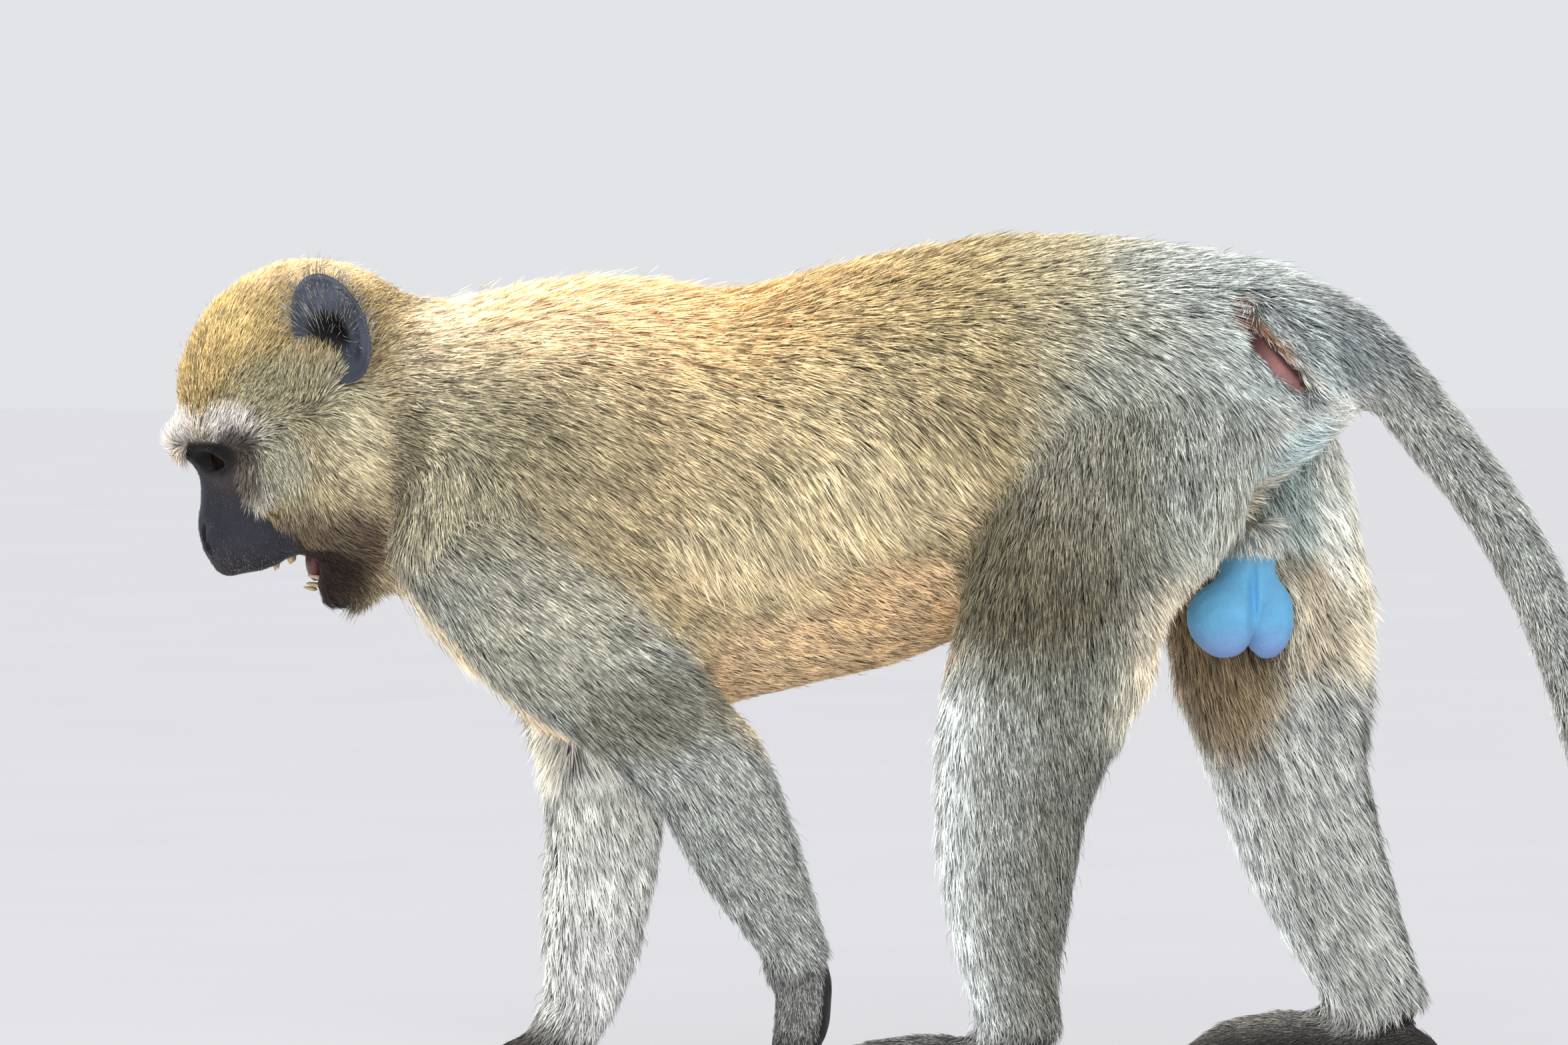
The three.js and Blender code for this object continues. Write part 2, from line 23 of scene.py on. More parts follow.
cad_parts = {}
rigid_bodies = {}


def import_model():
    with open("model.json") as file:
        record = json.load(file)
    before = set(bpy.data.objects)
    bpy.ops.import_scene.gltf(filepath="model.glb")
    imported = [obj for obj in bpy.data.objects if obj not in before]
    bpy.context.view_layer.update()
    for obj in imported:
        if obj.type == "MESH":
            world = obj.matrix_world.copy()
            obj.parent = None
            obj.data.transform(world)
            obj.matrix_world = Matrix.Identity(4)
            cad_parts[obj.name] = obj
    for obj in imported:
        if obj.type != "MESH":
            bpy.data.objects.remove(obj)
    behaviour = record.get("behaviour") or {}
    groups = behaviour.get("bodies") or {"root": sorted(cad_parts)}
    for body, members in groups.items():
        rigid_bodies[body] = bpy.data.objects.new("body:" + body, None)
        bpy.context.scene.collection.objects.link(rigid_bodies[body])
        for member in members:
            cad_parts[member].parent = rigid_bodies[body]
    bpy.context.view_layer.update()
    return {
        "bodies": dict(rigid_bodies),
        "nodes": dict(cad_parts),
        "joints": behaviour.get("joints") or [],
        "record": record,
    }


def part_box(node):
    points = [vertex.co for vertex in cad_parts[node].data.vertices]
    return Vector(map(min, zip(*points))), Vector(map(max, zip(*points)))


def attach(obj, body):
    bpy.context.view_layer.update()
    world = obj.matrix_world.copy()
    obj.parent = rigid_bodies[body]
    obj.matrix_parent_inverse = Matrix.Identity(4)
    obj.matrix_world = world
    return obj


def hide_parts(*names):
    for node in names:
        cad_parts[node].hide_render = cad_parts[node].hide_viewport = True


log = logging.getLogger("vervet")
Array = np.ndarray
Triple = tuple[float, float, float]
MM = 0.001
BAKE_PATCH = 0.003  # width of a lock's patch on the bake map
FLOOR_GAP = 0.1  # least height above the floor
DOWN = 1.4  # length of the down where fur gives way to bare skin
DOWN_HEIGHT = 0.35


# ---- plan of the body
class Side(Enum):
    """The two sides of the body, by the sign of y."""

    LEFT = -1
    RIGHT = 1


@dataclass
class BodyPlan:
    """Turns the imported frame's metres into the body's own millimetres and back.

    Attributes:
        eye_at: Where the centre of the right eye lies in the plan.
    """

    frame: dict[str, Any]
    eye_at: Triple = (-222.5, 13.5, 262.0)

    def __post_init__(self) -> None:
        """Finds the plan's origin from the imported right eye."""
        low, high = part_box("eye_right")
        self.origin = np.array((low + high) / 2) - np.array(self.eye_at) * MM

    def to_plan(self, metres: Array) -> Array:
        """Gives points of the frame in plan millimetres."""
        return (np.asarray(metres, float) - self.origin) / MM

    def to_frame(self, plan: Array) -> Array:
        """Gives plan points in metres of the frame."""
        return np.asarray(plan, float) * MM + self.origin

    def node_triangles(self, name: str) -> tuple[Array, Array]:
        """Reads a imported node's points, in plan millimetres, and its triangles."""
        points, triangles = read_mesh(self.frame["nodes"][name].data)
        return self.to_plan(points), triangles


def read_mesh(mesh: bpy.types.Mesh) -> tuple[Array, Array]:
    """Reads a mesh.

    Args:
        mesh: The mesh.

    Returns:
        Its points and its triangles.
    """
    points = np.empty(len(mesh.vertices) * 3)
    mesh.vertices.foreach_get("co", points)
    mesh.calc_loop_triangles()
    corners = np.empty(len(mesh.loop_triangles) * 3, int)
    mesh.loop_triangles.foreach_get("vertices", corners)
    return points.reshape(-1, 3), corners.reshape(-1, 3)


def unit(vectors: Array) -> Array:
    """Gives vectors of length one."""
    return vectors / np.maximum(np.linalg.norm(vectors, axis=-1, keepdims=True), 1e-9)


def ramp(values: Array, low: float, high: float) -> Array:
    """A smooth step from 0 at low to 1 at high, which may lie in either order."""
    share = np.clip((np.asarray(values) - low) / (high - low), 0, 1)
    return share * share * (3.0 - 2.0 * share)


def bump_at(points: Array, at: Sequence[float], size: Sequence[float]) -> Array:
    """A soft round weight, 1 at a place and 0 past its size."""
    away = (((points - np.array(at)) / np.array(size)) ** 2).sum(axis=1)
    return np.clip(1.0 - away, 0, 1) ** 2


@dataclass(frozen=True)
class Spot:
    """A soft round place on the body, made on both sides unless it lies on the middle.

    Attributes:
        at: Its middle.
        size: How far it reaches along x, y and z.
        one_side: Whether it is left out on the other side.
    """

    at: Triple
    size: Triple
    one_side: bool = field(default=False, kw_only=True)

    def sides(self) -> list[Array]:
        """Gives what to multiply its numbers by for itself and for its mirror image."""
        here, across = np.array((1, 1, 1)), np.array((1, -1, 1))
        return [here] if self.one_side or self.at[1] == 0 else [here, across]

    def soft(self, points: Array, flip: Array) -> Array:
        """A soft weight on one side, 1 at its middle and 0 past its size."""
        return bump_at(points, np.array(self.at) * flip, self.size)


@dataclass
class Spine:
    """A bent line through the middle of a limb or the tail.

    Attributes:
        stops: Its points in plan millimetres, from the body outwards.
    """

    stops: tuple[Triple, ...]

    def nearest(self, points: Array) -> tuple[Array, Array, Array]:
        """Finds each point's place along the line.

        Args:
            points: Points in plan millimetres.

        Returns:
            The share of the line's length before each point, its direction there and its nearest place.
        """
        line = np.array(self.stops, float)
        steps = line[1:] - line[:-1]
        lengths = np.linalg.norm(steps, axis=1)
        before = np.concatenate([[0.0], np.cumsum(lengths)])
        best, share = np.full(len(points), np.inf), np.zeros(len(points))
        way, place = np.zeros((len(points), 3)), np.zeros((len(points), 3))
        for start, step, length, done in zip(line, steps, lengths, before):
            t = np.clip(((points - start) @ step) / length**2, 0, 1)
            spot = start + t[:, None] * step
            away = np.linalg.norm(points - spot, axis=1)
            near = away < best
            best[near] = away[near]
            share[near] = (done + t[near] * length) / before[-1]
            way[near] = step / length
            place[near] = spot[near]
        return share, way, place


# ---- coat of each part
@dataclass(frozen=True)
class Pelt:
    """What grows on one part of the body.

    Attributes:
        length: Length of its locks, in millimetres.
        depth: How far the skin lies under their tips, in millimetres.
        thick: How thickly they grow, 1 on the back.
        flow: The way they lie.
        colour: Their colour, as sRGB from 0 to 255.
    """

    length: float
    depth: float
    thick: float
    flow: Triple
    colour: Triple


OLIVE = (184, 162, 116)
GOLD = (214, 190, 146)
GREY = (154, 155, 142)
COOL_GREY = (188, 191, 184)
SLATE = (50, 51, 58)
SOOT = (44, 40, 38)
BLUE = (118, 192, 236)
LILAC = (148, 170, 224)
PINK = (186, 138, 134)
RUST = (158, 84, 42)
LIP = (62, 52, 50)
STUBBLE = (132, 130, 130)
PALM = (48, 42, 42)
GAPE = (84, 34, 30)  # inside of the mouth
EAR_SKIN = (72, 76, 88)
EYE_REGION = (72, 64, 62)
CHIN = (40, 34, 34)
FOLD_SHADE = (70, 44, 40)
EAR_HAIR = (170, 168, 160)
INNER_LIMB = (194, 195, 189)
INNER_ARM = (230, 231, 226)
INNER_THIGH = (198, 182, 158)
CALF = (146, 147, 136)
SHIN = (238, 242, 240)
SEAT = (234, 228, 208)
WRIST = (206, 207, 204)
BACK_OF_HAND = (176, 178, 174)
BACK_OF_FOOT = (168, 168, 163)
TAIL_TIP = (92, 92, 92)
UNDER_TAIL = (216, 214, 206)

PELTS: dict[str, Pelt] = {
    "head": Pelt(8, 4, 1.5, (1, 0, 0.25), OLIVE),
    "jaw": Pelt(5, 1.6, 1.3, (0.7, 0, -0.7), SOOT),
    "neck": Pelt(17, 8, 1, (0.95, 0, -0.3), GOLD),
    "chest": Pelt(18, 8.5, 1, (0.8, 0, -0.6), GOLD),
    "belly": Pelt(17, 8, 1, (0.8, 0, -0.6), OLIVE),
    "rump": Pelt(15, 7, 1, (0.75, 0, -0.66), GREY),
    "scrotum": Pelt(12, 1.2, 0.9, (0.2, 0, -1), (222, 222, 212)),
    "upper_arm": Pelt(16, 7, 1, (0.6, 0, -0.8), COOL_GREY),
    "forearm": Pelt(12, 5, 1, (0.3, 0, -1), COOL_GREY),
    "hand": Pelt(4.5, 0.9, 0.9, (-0.5, 0, -0.8), SOOT),
    "thigh": Pelt(15, 7, 1, (0.35, 0, -0.94), GREY),
    "shank": Pelt(13, 5, 1, (0.2, 0, -1), COOL_GREY),
    "foot": Pelt(5.5, 1, 0.9, (-1, 0, -0.3), SOOT),
    "tail": Pelt(10, 4.2, 1.1, (0.5, 0, -0.85), COOL_GREY),
}


# ---- landmarks
FACE_EDGE = {
    235.5: -196,
    237.5: -208,
    243.7: -213.5,
    252.9: -218.8,
    263.6: -219.6,
    266: -224,
}  # x of the edge of the fur at each height
MOUTH_HOLLOWS = (
    ((-211, 0, 213), (15.5, 11, 7.5)),
    ((-196, 0, 219), (12, 12.5, 12)),
    ((-194, 0, 211), (6.5, 8, 9.5)),
)
LEFT_ARM = Spine(
    ((-118, -31, 286), (-131, -44, 236), (-70, -56, 172), (-39, -55, 149))
    + ((-11, -44, 95), (5, -34, 60), (3, -32, 18))
)
RIGHT_ARM = Spine(
    ((-110, 31, 286), (-122, 44, 236), (-76, 52, 154), (-75, 44, 93), (-83, 39, 40), (-114, 37, 9))
)
LEFT_LEG = Spine(((157, -28, 294), (124, -49, 224), (101, -59, 167), (89, -68, 86), (94, -71, 33)))
RIGHT_LEG = Spine(((174, 28, 295), (194, 48, 211), (197, 50, 176), (222, 50, 84), (248, 50, 31)))
TAIL = Spine(
    ((203, 0, 313), (224, 0, 307), (240, 0, 296), (263, 0, 270), (292, 0, 232))
    + ((315, 0.2, 184), (331, 1, 132), (352, 2.2, 82), (392, 4, 44))
    + ((450, 6.3, 29), (511, 9, 33), (566, 12.3, 54), (596, 16, 76))
)


@dataclass
class Surface:
    """A triangle mesh held as arrays, in plan millimetres.

    Attributes:
        points: The corners.
        triangles: Three corner numbers for each face.
    """

    points: Array
    triangles: Array

    def edges(self) -> Array:
        """Gives each edge once, as two corner numbers."""
        pairs = np.concatenate([self.triangles[:, ends] for ends in ([0, 1], [1, 2], [2, 0])])
        return np.unique(np.sort(pairs, axis=1), axis=0)

    def face_normals(self) -> Array:
        """Gives each face's normal, as long as twice its area."""
        a, b, c = (self.points[self.triangles[:, k]] for k in range(3))
        return np.cross(b - a, c - a)

    def normals(self) -> Array:
        """Works out the smooth normals.

        Returns:
            A direction of length one at each corner.
        """
        faces = self.face_normals()
        total = np.zeros_like(self.points)
        for corner in range(3):
            for axis in range(3):
                total[:, axis] += np.bincount(self.triangles[:, corner], faces[:, axis], len(self.points))
        return unit(total)

    def relaxed(self, values: Array, rounds: int, strength: float | Array = 0.5) -> Array:
        """Evens out values over the surface.

        Args:
            values: Numbers at the corners, one row each.
            rounds: How many times each corner is drawn towards its neighbours.
            strength: How far it is drawn each time, the same or one number for each corner.

        Returns:
            The evened values.
        """
        first, second = self.edges().T
        count = len(self.points)
        degree = np.maximum(np.bincount(first, minlength=count) + np.bincount(second, minlength=count), 1)
        pull = np.broadcast_to(np.asarray(strength, float), (count,))
        out = np.array(values, float).reshape(count, -1)
        for _ in range(rounds):
            for column in range(out.shape[1]):
                value = out[:, column]
                total = np.bincount(first, value[second], count) + np.bincount(second, value[first], count)
                out[:, column] = value + pull * (total / degree - value)
        return out.reshape(np.shape(values))

    def refined(self, chosen: Array) -> Surface:
        """Splits the edges whose two ends are chosen.

        Args:
            chosen: True at each corner that needs finer faces.

        Returns:
            The finer surface, whose first corners are the old ones.
        """
        edges = self.edges()
        split = edges[chosen[edges].all(axis=1)]
        count = len(self.points)
        keys = split[:, 0] * count + split[:, 1]
        order = np.argsort(keys)
        keys, split = keys[order], split[order]
        points = np.concatenate([self.points, self.points[split].mean(axis=1)])

        def middle(a: Array, b: Array) -> Array:
            """Finds the new corners on edges.

            Args:
                a: One end of each edge.
                b: Its other end.

            Returns:
                The new corner's number, or -1 where the edge isn't split.
            """
            key = np.minimum(a, b) * count + np.maximum(a, b)
            place = np.minimum(np.searchsorted(keys, key), len(keys) - 1)
            return np.where(keys[place] == key, count + place, -1)

        a, b, c = self.triangles.T
        mids = np.stack([middle(a, b), middle(b, c), middle(c, a)], axis=1)
        cuts = (mids >= 0).sum(axis=1)
        only, after_whole = np.argmax(mids >= 0, axis=1), (np.argmin(mids, axis=1) + 1) % 3
        turn = np.where(cuts == 1, only, np.where(cuts == 2, after_whole, 0))
        rows = np.arange(len(mids))[:, None]
        spin = (turn[:, None] + np.arange(3)) % 3
        a, b, c = self.triangles[rows, spin].T
        ab, bc, ca = mids[rows, spin].T
        whole, one, two, three = (cuts == k for k in range(4))
        kinds = (
            (whole, ((a, b, c),)),
            (one, ((a, ab, c), (ab, b, c))),
            (two, ((ab, b, bc), (a, ab, bc), (a, bc, c))),
            (three, ((a, ab, ca), (ab, b, bc), (ca, bc, c), (ab, bc, ca))),
        )
        made = [np.stack(corners, 1)[kind] for kind, faces in kinds for corners in faces]
        return Surface(points, np.concatenate(made))

    def joined(self, other: Surface) -> Surface:
        """Gives this surface and another as one."""
        points = np.concatenate([self.points, other.points])
        return Surface(points, np.concatenate([self.triangles, other.triangles + len(self.points)]))


def mesh_object(name: str, points: Array, faces: Array, smooth: bool = True) -> bpy.types.Object:
    """Makes a mesh piece from arrays.

    Args:
        name: The piece's name.
        points: Corners in metres of the frame.
        faces: Corner numbers, one row for each face.
        smooth: Whether it is shaded smooth.

    Returns:
        The new piece, linked to the scene.
    """
    mesh = bpy.data.meshes.new(name)
    sides = faces.shape[1]
    mesh.vertices.add(len(points))
    mesh.vertices.foreach_set("co", np.asarray(points, np.float32).ravel())
    mesh.loops.add(faces.size)
    mesh.loops.foreach_set("vertex_index", faces.astype(np.int32).ravel())
    mesh.polygons.add(len(faces))
    mesh.polygons.foreach_set("loop_start", np.arange(0, faces.size, sides, dtype=np.int32))
    mesh.polygons.foreach_set("use_smooth", np.full(len(faces), smooth))
    mesh.update(calc_edges=True)
    mesh.validate()
    piece = bpy.data.objects.new(name, mesh)
    bpy.context.scene.collection.objects.link(piece)
    return piece


def paint_values(piece: bpy.types.Object, name: str, values: Array) -> None:
    """Stores a number or a colour at each corner of a piece for its material.

    Args:
        piece: The piece.
        name: What the material calls the values.
        values: One number or one colour, as three numbers, for each corner.
    """
    colours = values.ndim == 2
    kind = "FLOAT_COLOR" if colours else "FLOAT"
    layer = piece.data.attributes.new(name, kind, "POINT")
    if colours:
        values = np.concatenate([values, np.ones((len(values), 1))], axis=1)
    layer.data.foreach_set("color" if colours else "value", np.asarray(values, np.float32).ravel())


# ---- skin
@dataclass(frozen=True)
class Digits:
    """A row of fingers or toes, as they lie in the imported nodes.

    Attributes:
        lengths: Their lengths, from the inner side outwards.
        thick: Half their thickness.
        spread: Turn between neighbours, in radians.
        pitch: Space between neighbours.
        start: Where the row begins, as x and y.
        heading: Which way it points, in radians.
        side: The side of its first digit, 1 towards the animal's right.
        reach: How far ahead, aside and up it lies from its start.
        groove: How deep the grooves between neighbours are.
        knuckles: How far along the digits their knuckles stand.
    """

    lengths: tuple[float, ...]
    thick: float
    spread: float
    pitch: float
    start: tuple[float, float]
    heading: float
    side: int
    reach: Triple = (46, 34, 26)
    groove: float = 2.6
    knuckles: tuple[float, ...] = (9.0, 19.0)

    @property
    def middle(self) -> float:
        """The place of the row's middle, counted in digits."""
        return (len(self.lengths) - 1) / 2

    def tips(self) -> list[tuple[Array, float, float]]:
        """Finds where the digits end.

        Returns:
            Each digit's tip, its heading and its half-thickness.
        """
        found = []
        for i, length in enumerate(self.lengths):
            place = self.middle - i
            turn = self.heading + self.side * place * self.spread
            thick = self.thick * (1 - 0.04 * i)
            x = self.start[0] + abs(place) * 2 - math.cos(turn) * length
            y = self.start[1] + self.side * place * self.pitch + math.sin(turn) * length
            found.append((np.array((x, y, thick * 0.58)), turn, thick))
        return found

    def measured(self, points: Array) -> tuple[Array, Array]:
        """Measures points from the row's start.

        Args:
            points: Points in plan millimetres.

        Returns:
            How far each lies ahead of the start, and how far aside of it.
        """
        ahead = np.array((-math.cos(self.heading), math.sin(self.heading)))
        aside = np.array((math.sin(self.heading), math.cos(self.heading))) * self.side
        away = points[:, :2] - np.array(self.start)
        return away @ ahead, away @ aside

    def share(self, points: Array) -> Array:
        """Finds the points that belong to the digits.

        Args:
            points: Points in plan millimetres.

        Returns:
            How much each point belongs to a digit, from 0 to 1.
        """
        ahead, aside = self.measured(points)
        far, wide, high = self.reach
        return ramp(ahead, -2, 8) * (np.abs(aside) < wide) * (ahead < far) * (points[:, 2] < high)

    def pressed(self, points: Array) -> Array:
        """Parts the digits with grooves and raises their knuckles.

        Args:
            points: The skin's corners.

        Returns:
            The moved corners.
        """
        ahead, aside = self.measured(points)
        fan = self.pitch + self.spread * np.maximum(ahead, 0.0)
        place = aside / fan + self.middle
        between = np.abs(place - np.clip(np.floor(place), 0, 2 * self.middle - 1) - 0.5) * fan
        groove = self.groove * np.exp(-((between / 1.7) ** 2)) * ramp(ahead, -6, 6)
        knuckle = sum(np.exp(-(((ahead - spot) / 2.6) ** 2)) for spot in self.knuckles)
        moved = points.copy()
        moved[:, 2] += (0.7 * knuckle - groove) * self.share(points) * ramp(points[:, 2], 2, 6)
        return moved


TOES = ((25, 31, 30, 24), 5.6, 0.12, 9.4)  # lengths, half-thickness, spread and pitch
FINGERS = ((27, 33, 32, 25), 4.9, 0.14, 8.0)
DIGIT_ROWS: dict[str, Digits] = {
    "foot_left": Digits(*TOES, (20.0, -70.2), 0.02, 1),
    "foot_right": Digits(*TOES, (174.0, 44.7), -0.06, -1),
    "hand_left": Digits(*FINGERS, (3.0, -32.0), 0.0, 1),
    "hand_right": Digits(*FINGERS, (-114.0, 37.0), 0.0, -1),
}


@dataclass(frozen=True)
class Dab(Spot):
    """A small push that shapes the skin.

    Attributes:
        push: How far its middle moves.
    """

    push: Triple

    def pressed(self, points: Array) -> Array:
        """Pushes the skin.

        Args:
            points: The skin's corners.

        Returns:
            The moved corners.
        """
        for flip in self.sides():
            points = points + self.soft(points, flip)[:, None] * np.array(self.push) * flip
        return points


DABS = (
    Dab((-237, 0, 233), (6, 5, 9), (-1, 0, 0)),  # tip of the nose
    Dab((-232.5, 9.5, 227.5), (4.5, 3.2, 7.5), (-0.9, 1, 0)),  # wing of the nose
    Dab((-235, 6.6, 229), (4.2, 3, 5), (3.6, -1.4, 0)),  # nostril
    Dab((-233.4, 8.2, 224), (3.4, 2.8, 4.6), (2.6, -1.6, 0.3)),  # its slit, running down and out
    Dab((-231.2, 10.4, 229.5), (2.6, 3, 6.5), (-0.4, 1.1, 0)),  # its outer rim
    Dab((-233, 0, 219), (5, 2, 6), (0.7, 0, 0)),  # groove of the upper lip
    Dab((-233, 12.5, 240), (9, 5, 12), (2.2, -1.2, 0)),  # hollow beside the bridge
    Dab((-229, 18, 249), (8, 7, 6), (-1.3, 0.6, 0)),  # pouch below the eye
    Dab((-232, 17, 261), (11, 9, 7), (2.6, -2.4, 0.4)),  # deep socket under the brow
    Dab((-222, 15, 222), (9, 7, 9), (0, 1.4, 0)),  # root of the canine
    Dab((-205, 21, 223), (10, 7, 6), (0, -1.6, 0.8)),  # fold behind the lip
    Dab((189.5, -14, 198), (3.2, 18, 28), (0, 5.4, 0), one_side=True),  # seam of the pouch
    Dab((160, -40, 200), (26, 46, 40), (-9, 0, 0), one_side=True),  # rear of the left thigh
)


@dataclass(frozen=True)
class Fold:
    """The bare fold on each side of the tail's root, as a line seen from the side.

    Attributes:
        start: Its upper end, as x and z.
        end: Its lower end, as x and z.
        wide: Half its width.
        deep: How far its middle lies below its edges.
        lip: How far the edge on the tail's side stands up.
        inner: The least distance from the middle of the body.
    """

    start: tuple[float, float] = (178.5, 319.5)
    end: tuple[float, float] = (206.0, 291.0)
    wide: float = 5.3
    deep: float = 4.8
    lip: float = 2.4
    inner: float = 12.0

    def measured(self, points: Array) -> tuple[Array, Array]:
        """Finds where points lie beside the fold.

        Args:
            points: Points in plan millimetres.

        Returns:
            The share of its length before each point, and the distance across it, positive towards the tail.
        """
        start, end = np.array(self.start), np.array(self.end)
        run = end - start
        away = points[:, [0, 2]] - start
        share = away @ run / (run @ run)
        across = away @ np.array((-run[1], run[0])) / np.linalg.norm(run)
        past = (share - np.clip(share, 0, 1)) * np.linalg.norm(run)
        return share, np.copysign(np.hypot(across, past), across)

    def weight(self, points: Array, reach: float = 1.0) -> Array:
        """Says how near points lie to the fold.

        Args:
            points: Points in plan millimetres.
            reach: How many of the fold's widths to look within.

        Returns:
            1 at the fold's middle, falling to 0 at that reach.
        """
        share, across = self.measured(points)
        share = np.clip(share, 0, 1)
        narrow = self.wide * reach * (0.7 + 0.35 * share + 0.13 * np.sin(share * 12.0 + points[:, 1]))
        return ramp(np.abs(across), narrow, narrow * 0.45) * (np.abs(points[:, 1]) > self.inner)

    def pressed(self, points: Array) -> Array:
        """Presses the fold into the skin and raises its edge.

        Args:
            points: The skin's corners.

        Returns:
            The moved corners.
        """
        across = self.measured(points)[1]
        lip = np.exp(-(((across - self.wide * 1.3) / (self.wide * 0.6)) ** 2))
        lip *= np.abs(points[:, 1]) > self.inner
        out = self.lip * lip - self.deep * self.weight(points, 1.2)
        moved = points.copy()
        moved[:, 1] += np.sign(points[:, 1]) * out
        return moved


@dataclass(frozen=True)
class EyeSocket:
    """An eyeball's place and the opening of its lids.

    Attributes:
        at: The ball's centre on the right side.
        radius: The ball's radius.
        gaze: Where the right eye looks.
        wide: Half the lids' opening across, in degrees.
        high: Half the lids' opening up and down, in degrees.
        lid: Thickness of the lids.
    """

    at: Triple = (-222.5, 13.5, 262.0)
    radius: float = 9.0
    gaze: Triple = (-0.84, 0.36, -0.41)
    wide: float = 45.0
    high: float = 27.0
    lid: float = 1.2

    def axes(self, side: Side) -> tuple[Array, Array, Array, Array]:
        """Places one eyeball.

        Args:
            side: Which eye.

        Returns:
            The ball's centre, where it looks, and the directions outward and upward of that.
        """
        centre = np.array(self.at) * (1, side.value, 1)
        gaze = unit(np.array(self.gaze) * (1, side.value, 1))
        out = unit(np.cross(gaze, (0, 0, 1)) * -side.value)
        return centre, gaze, out, unit(np.cross(gaze, out) * side.value)

    def shape_lids(self, points: Array, side: Side) -> tuple[Array, Array]:
        """Draws the skin round the ball and opens the lids.

        Args:
            points: The skin's corners.
            side: Which eye.

        Returns:
            The moved corners and how near each is to the lids' edge, from 0 to 1.
        """
        centre, gaze, out, up = self.axes(side)
        away = points - centre
        far = np.linalg.norm(away, axis=1)
        way = away / np.maximum(far, 1e-6)[:, None]
        ahead = way @ gaze
        across = np.degrees(np.arctan2(way @ out, ahead)) / self.wide
        height = np.degrees(np.arctan2(way @ up, ahead))
        height = (height + 3.0 * across**2) / np.where(height > 0, self.high, self.high * 0.72)
        rim = np.sqrt(across**2 + height**2 + 1e-9)
        front = (ahead > 0.1) & (far < self.radius + 7.0)
        near = np.where(front, ramp(far, self.radius + 6.0, self.radius + 2.0), 0.0)
        skin_at = self.radius + self.lid * (1.0 - 0.5 * np.exp(-((rim - 1.7) ** 2) / 0.05))
        open_at = self.radius - 2.2
        target = np.where(rim < 1.0, open_at, open_at + (skin_at - open_at) * ramp(rim, 0.98, 1.12))
        hold = near * ramp(ahead, 0.15, 0.5)
        moved = centre + way * (far + (target - far) * hold)[:, None]
        return moved, np.where(front, np.exp(-((rim - 1.1) ** 2) / 0.06), 0.0)


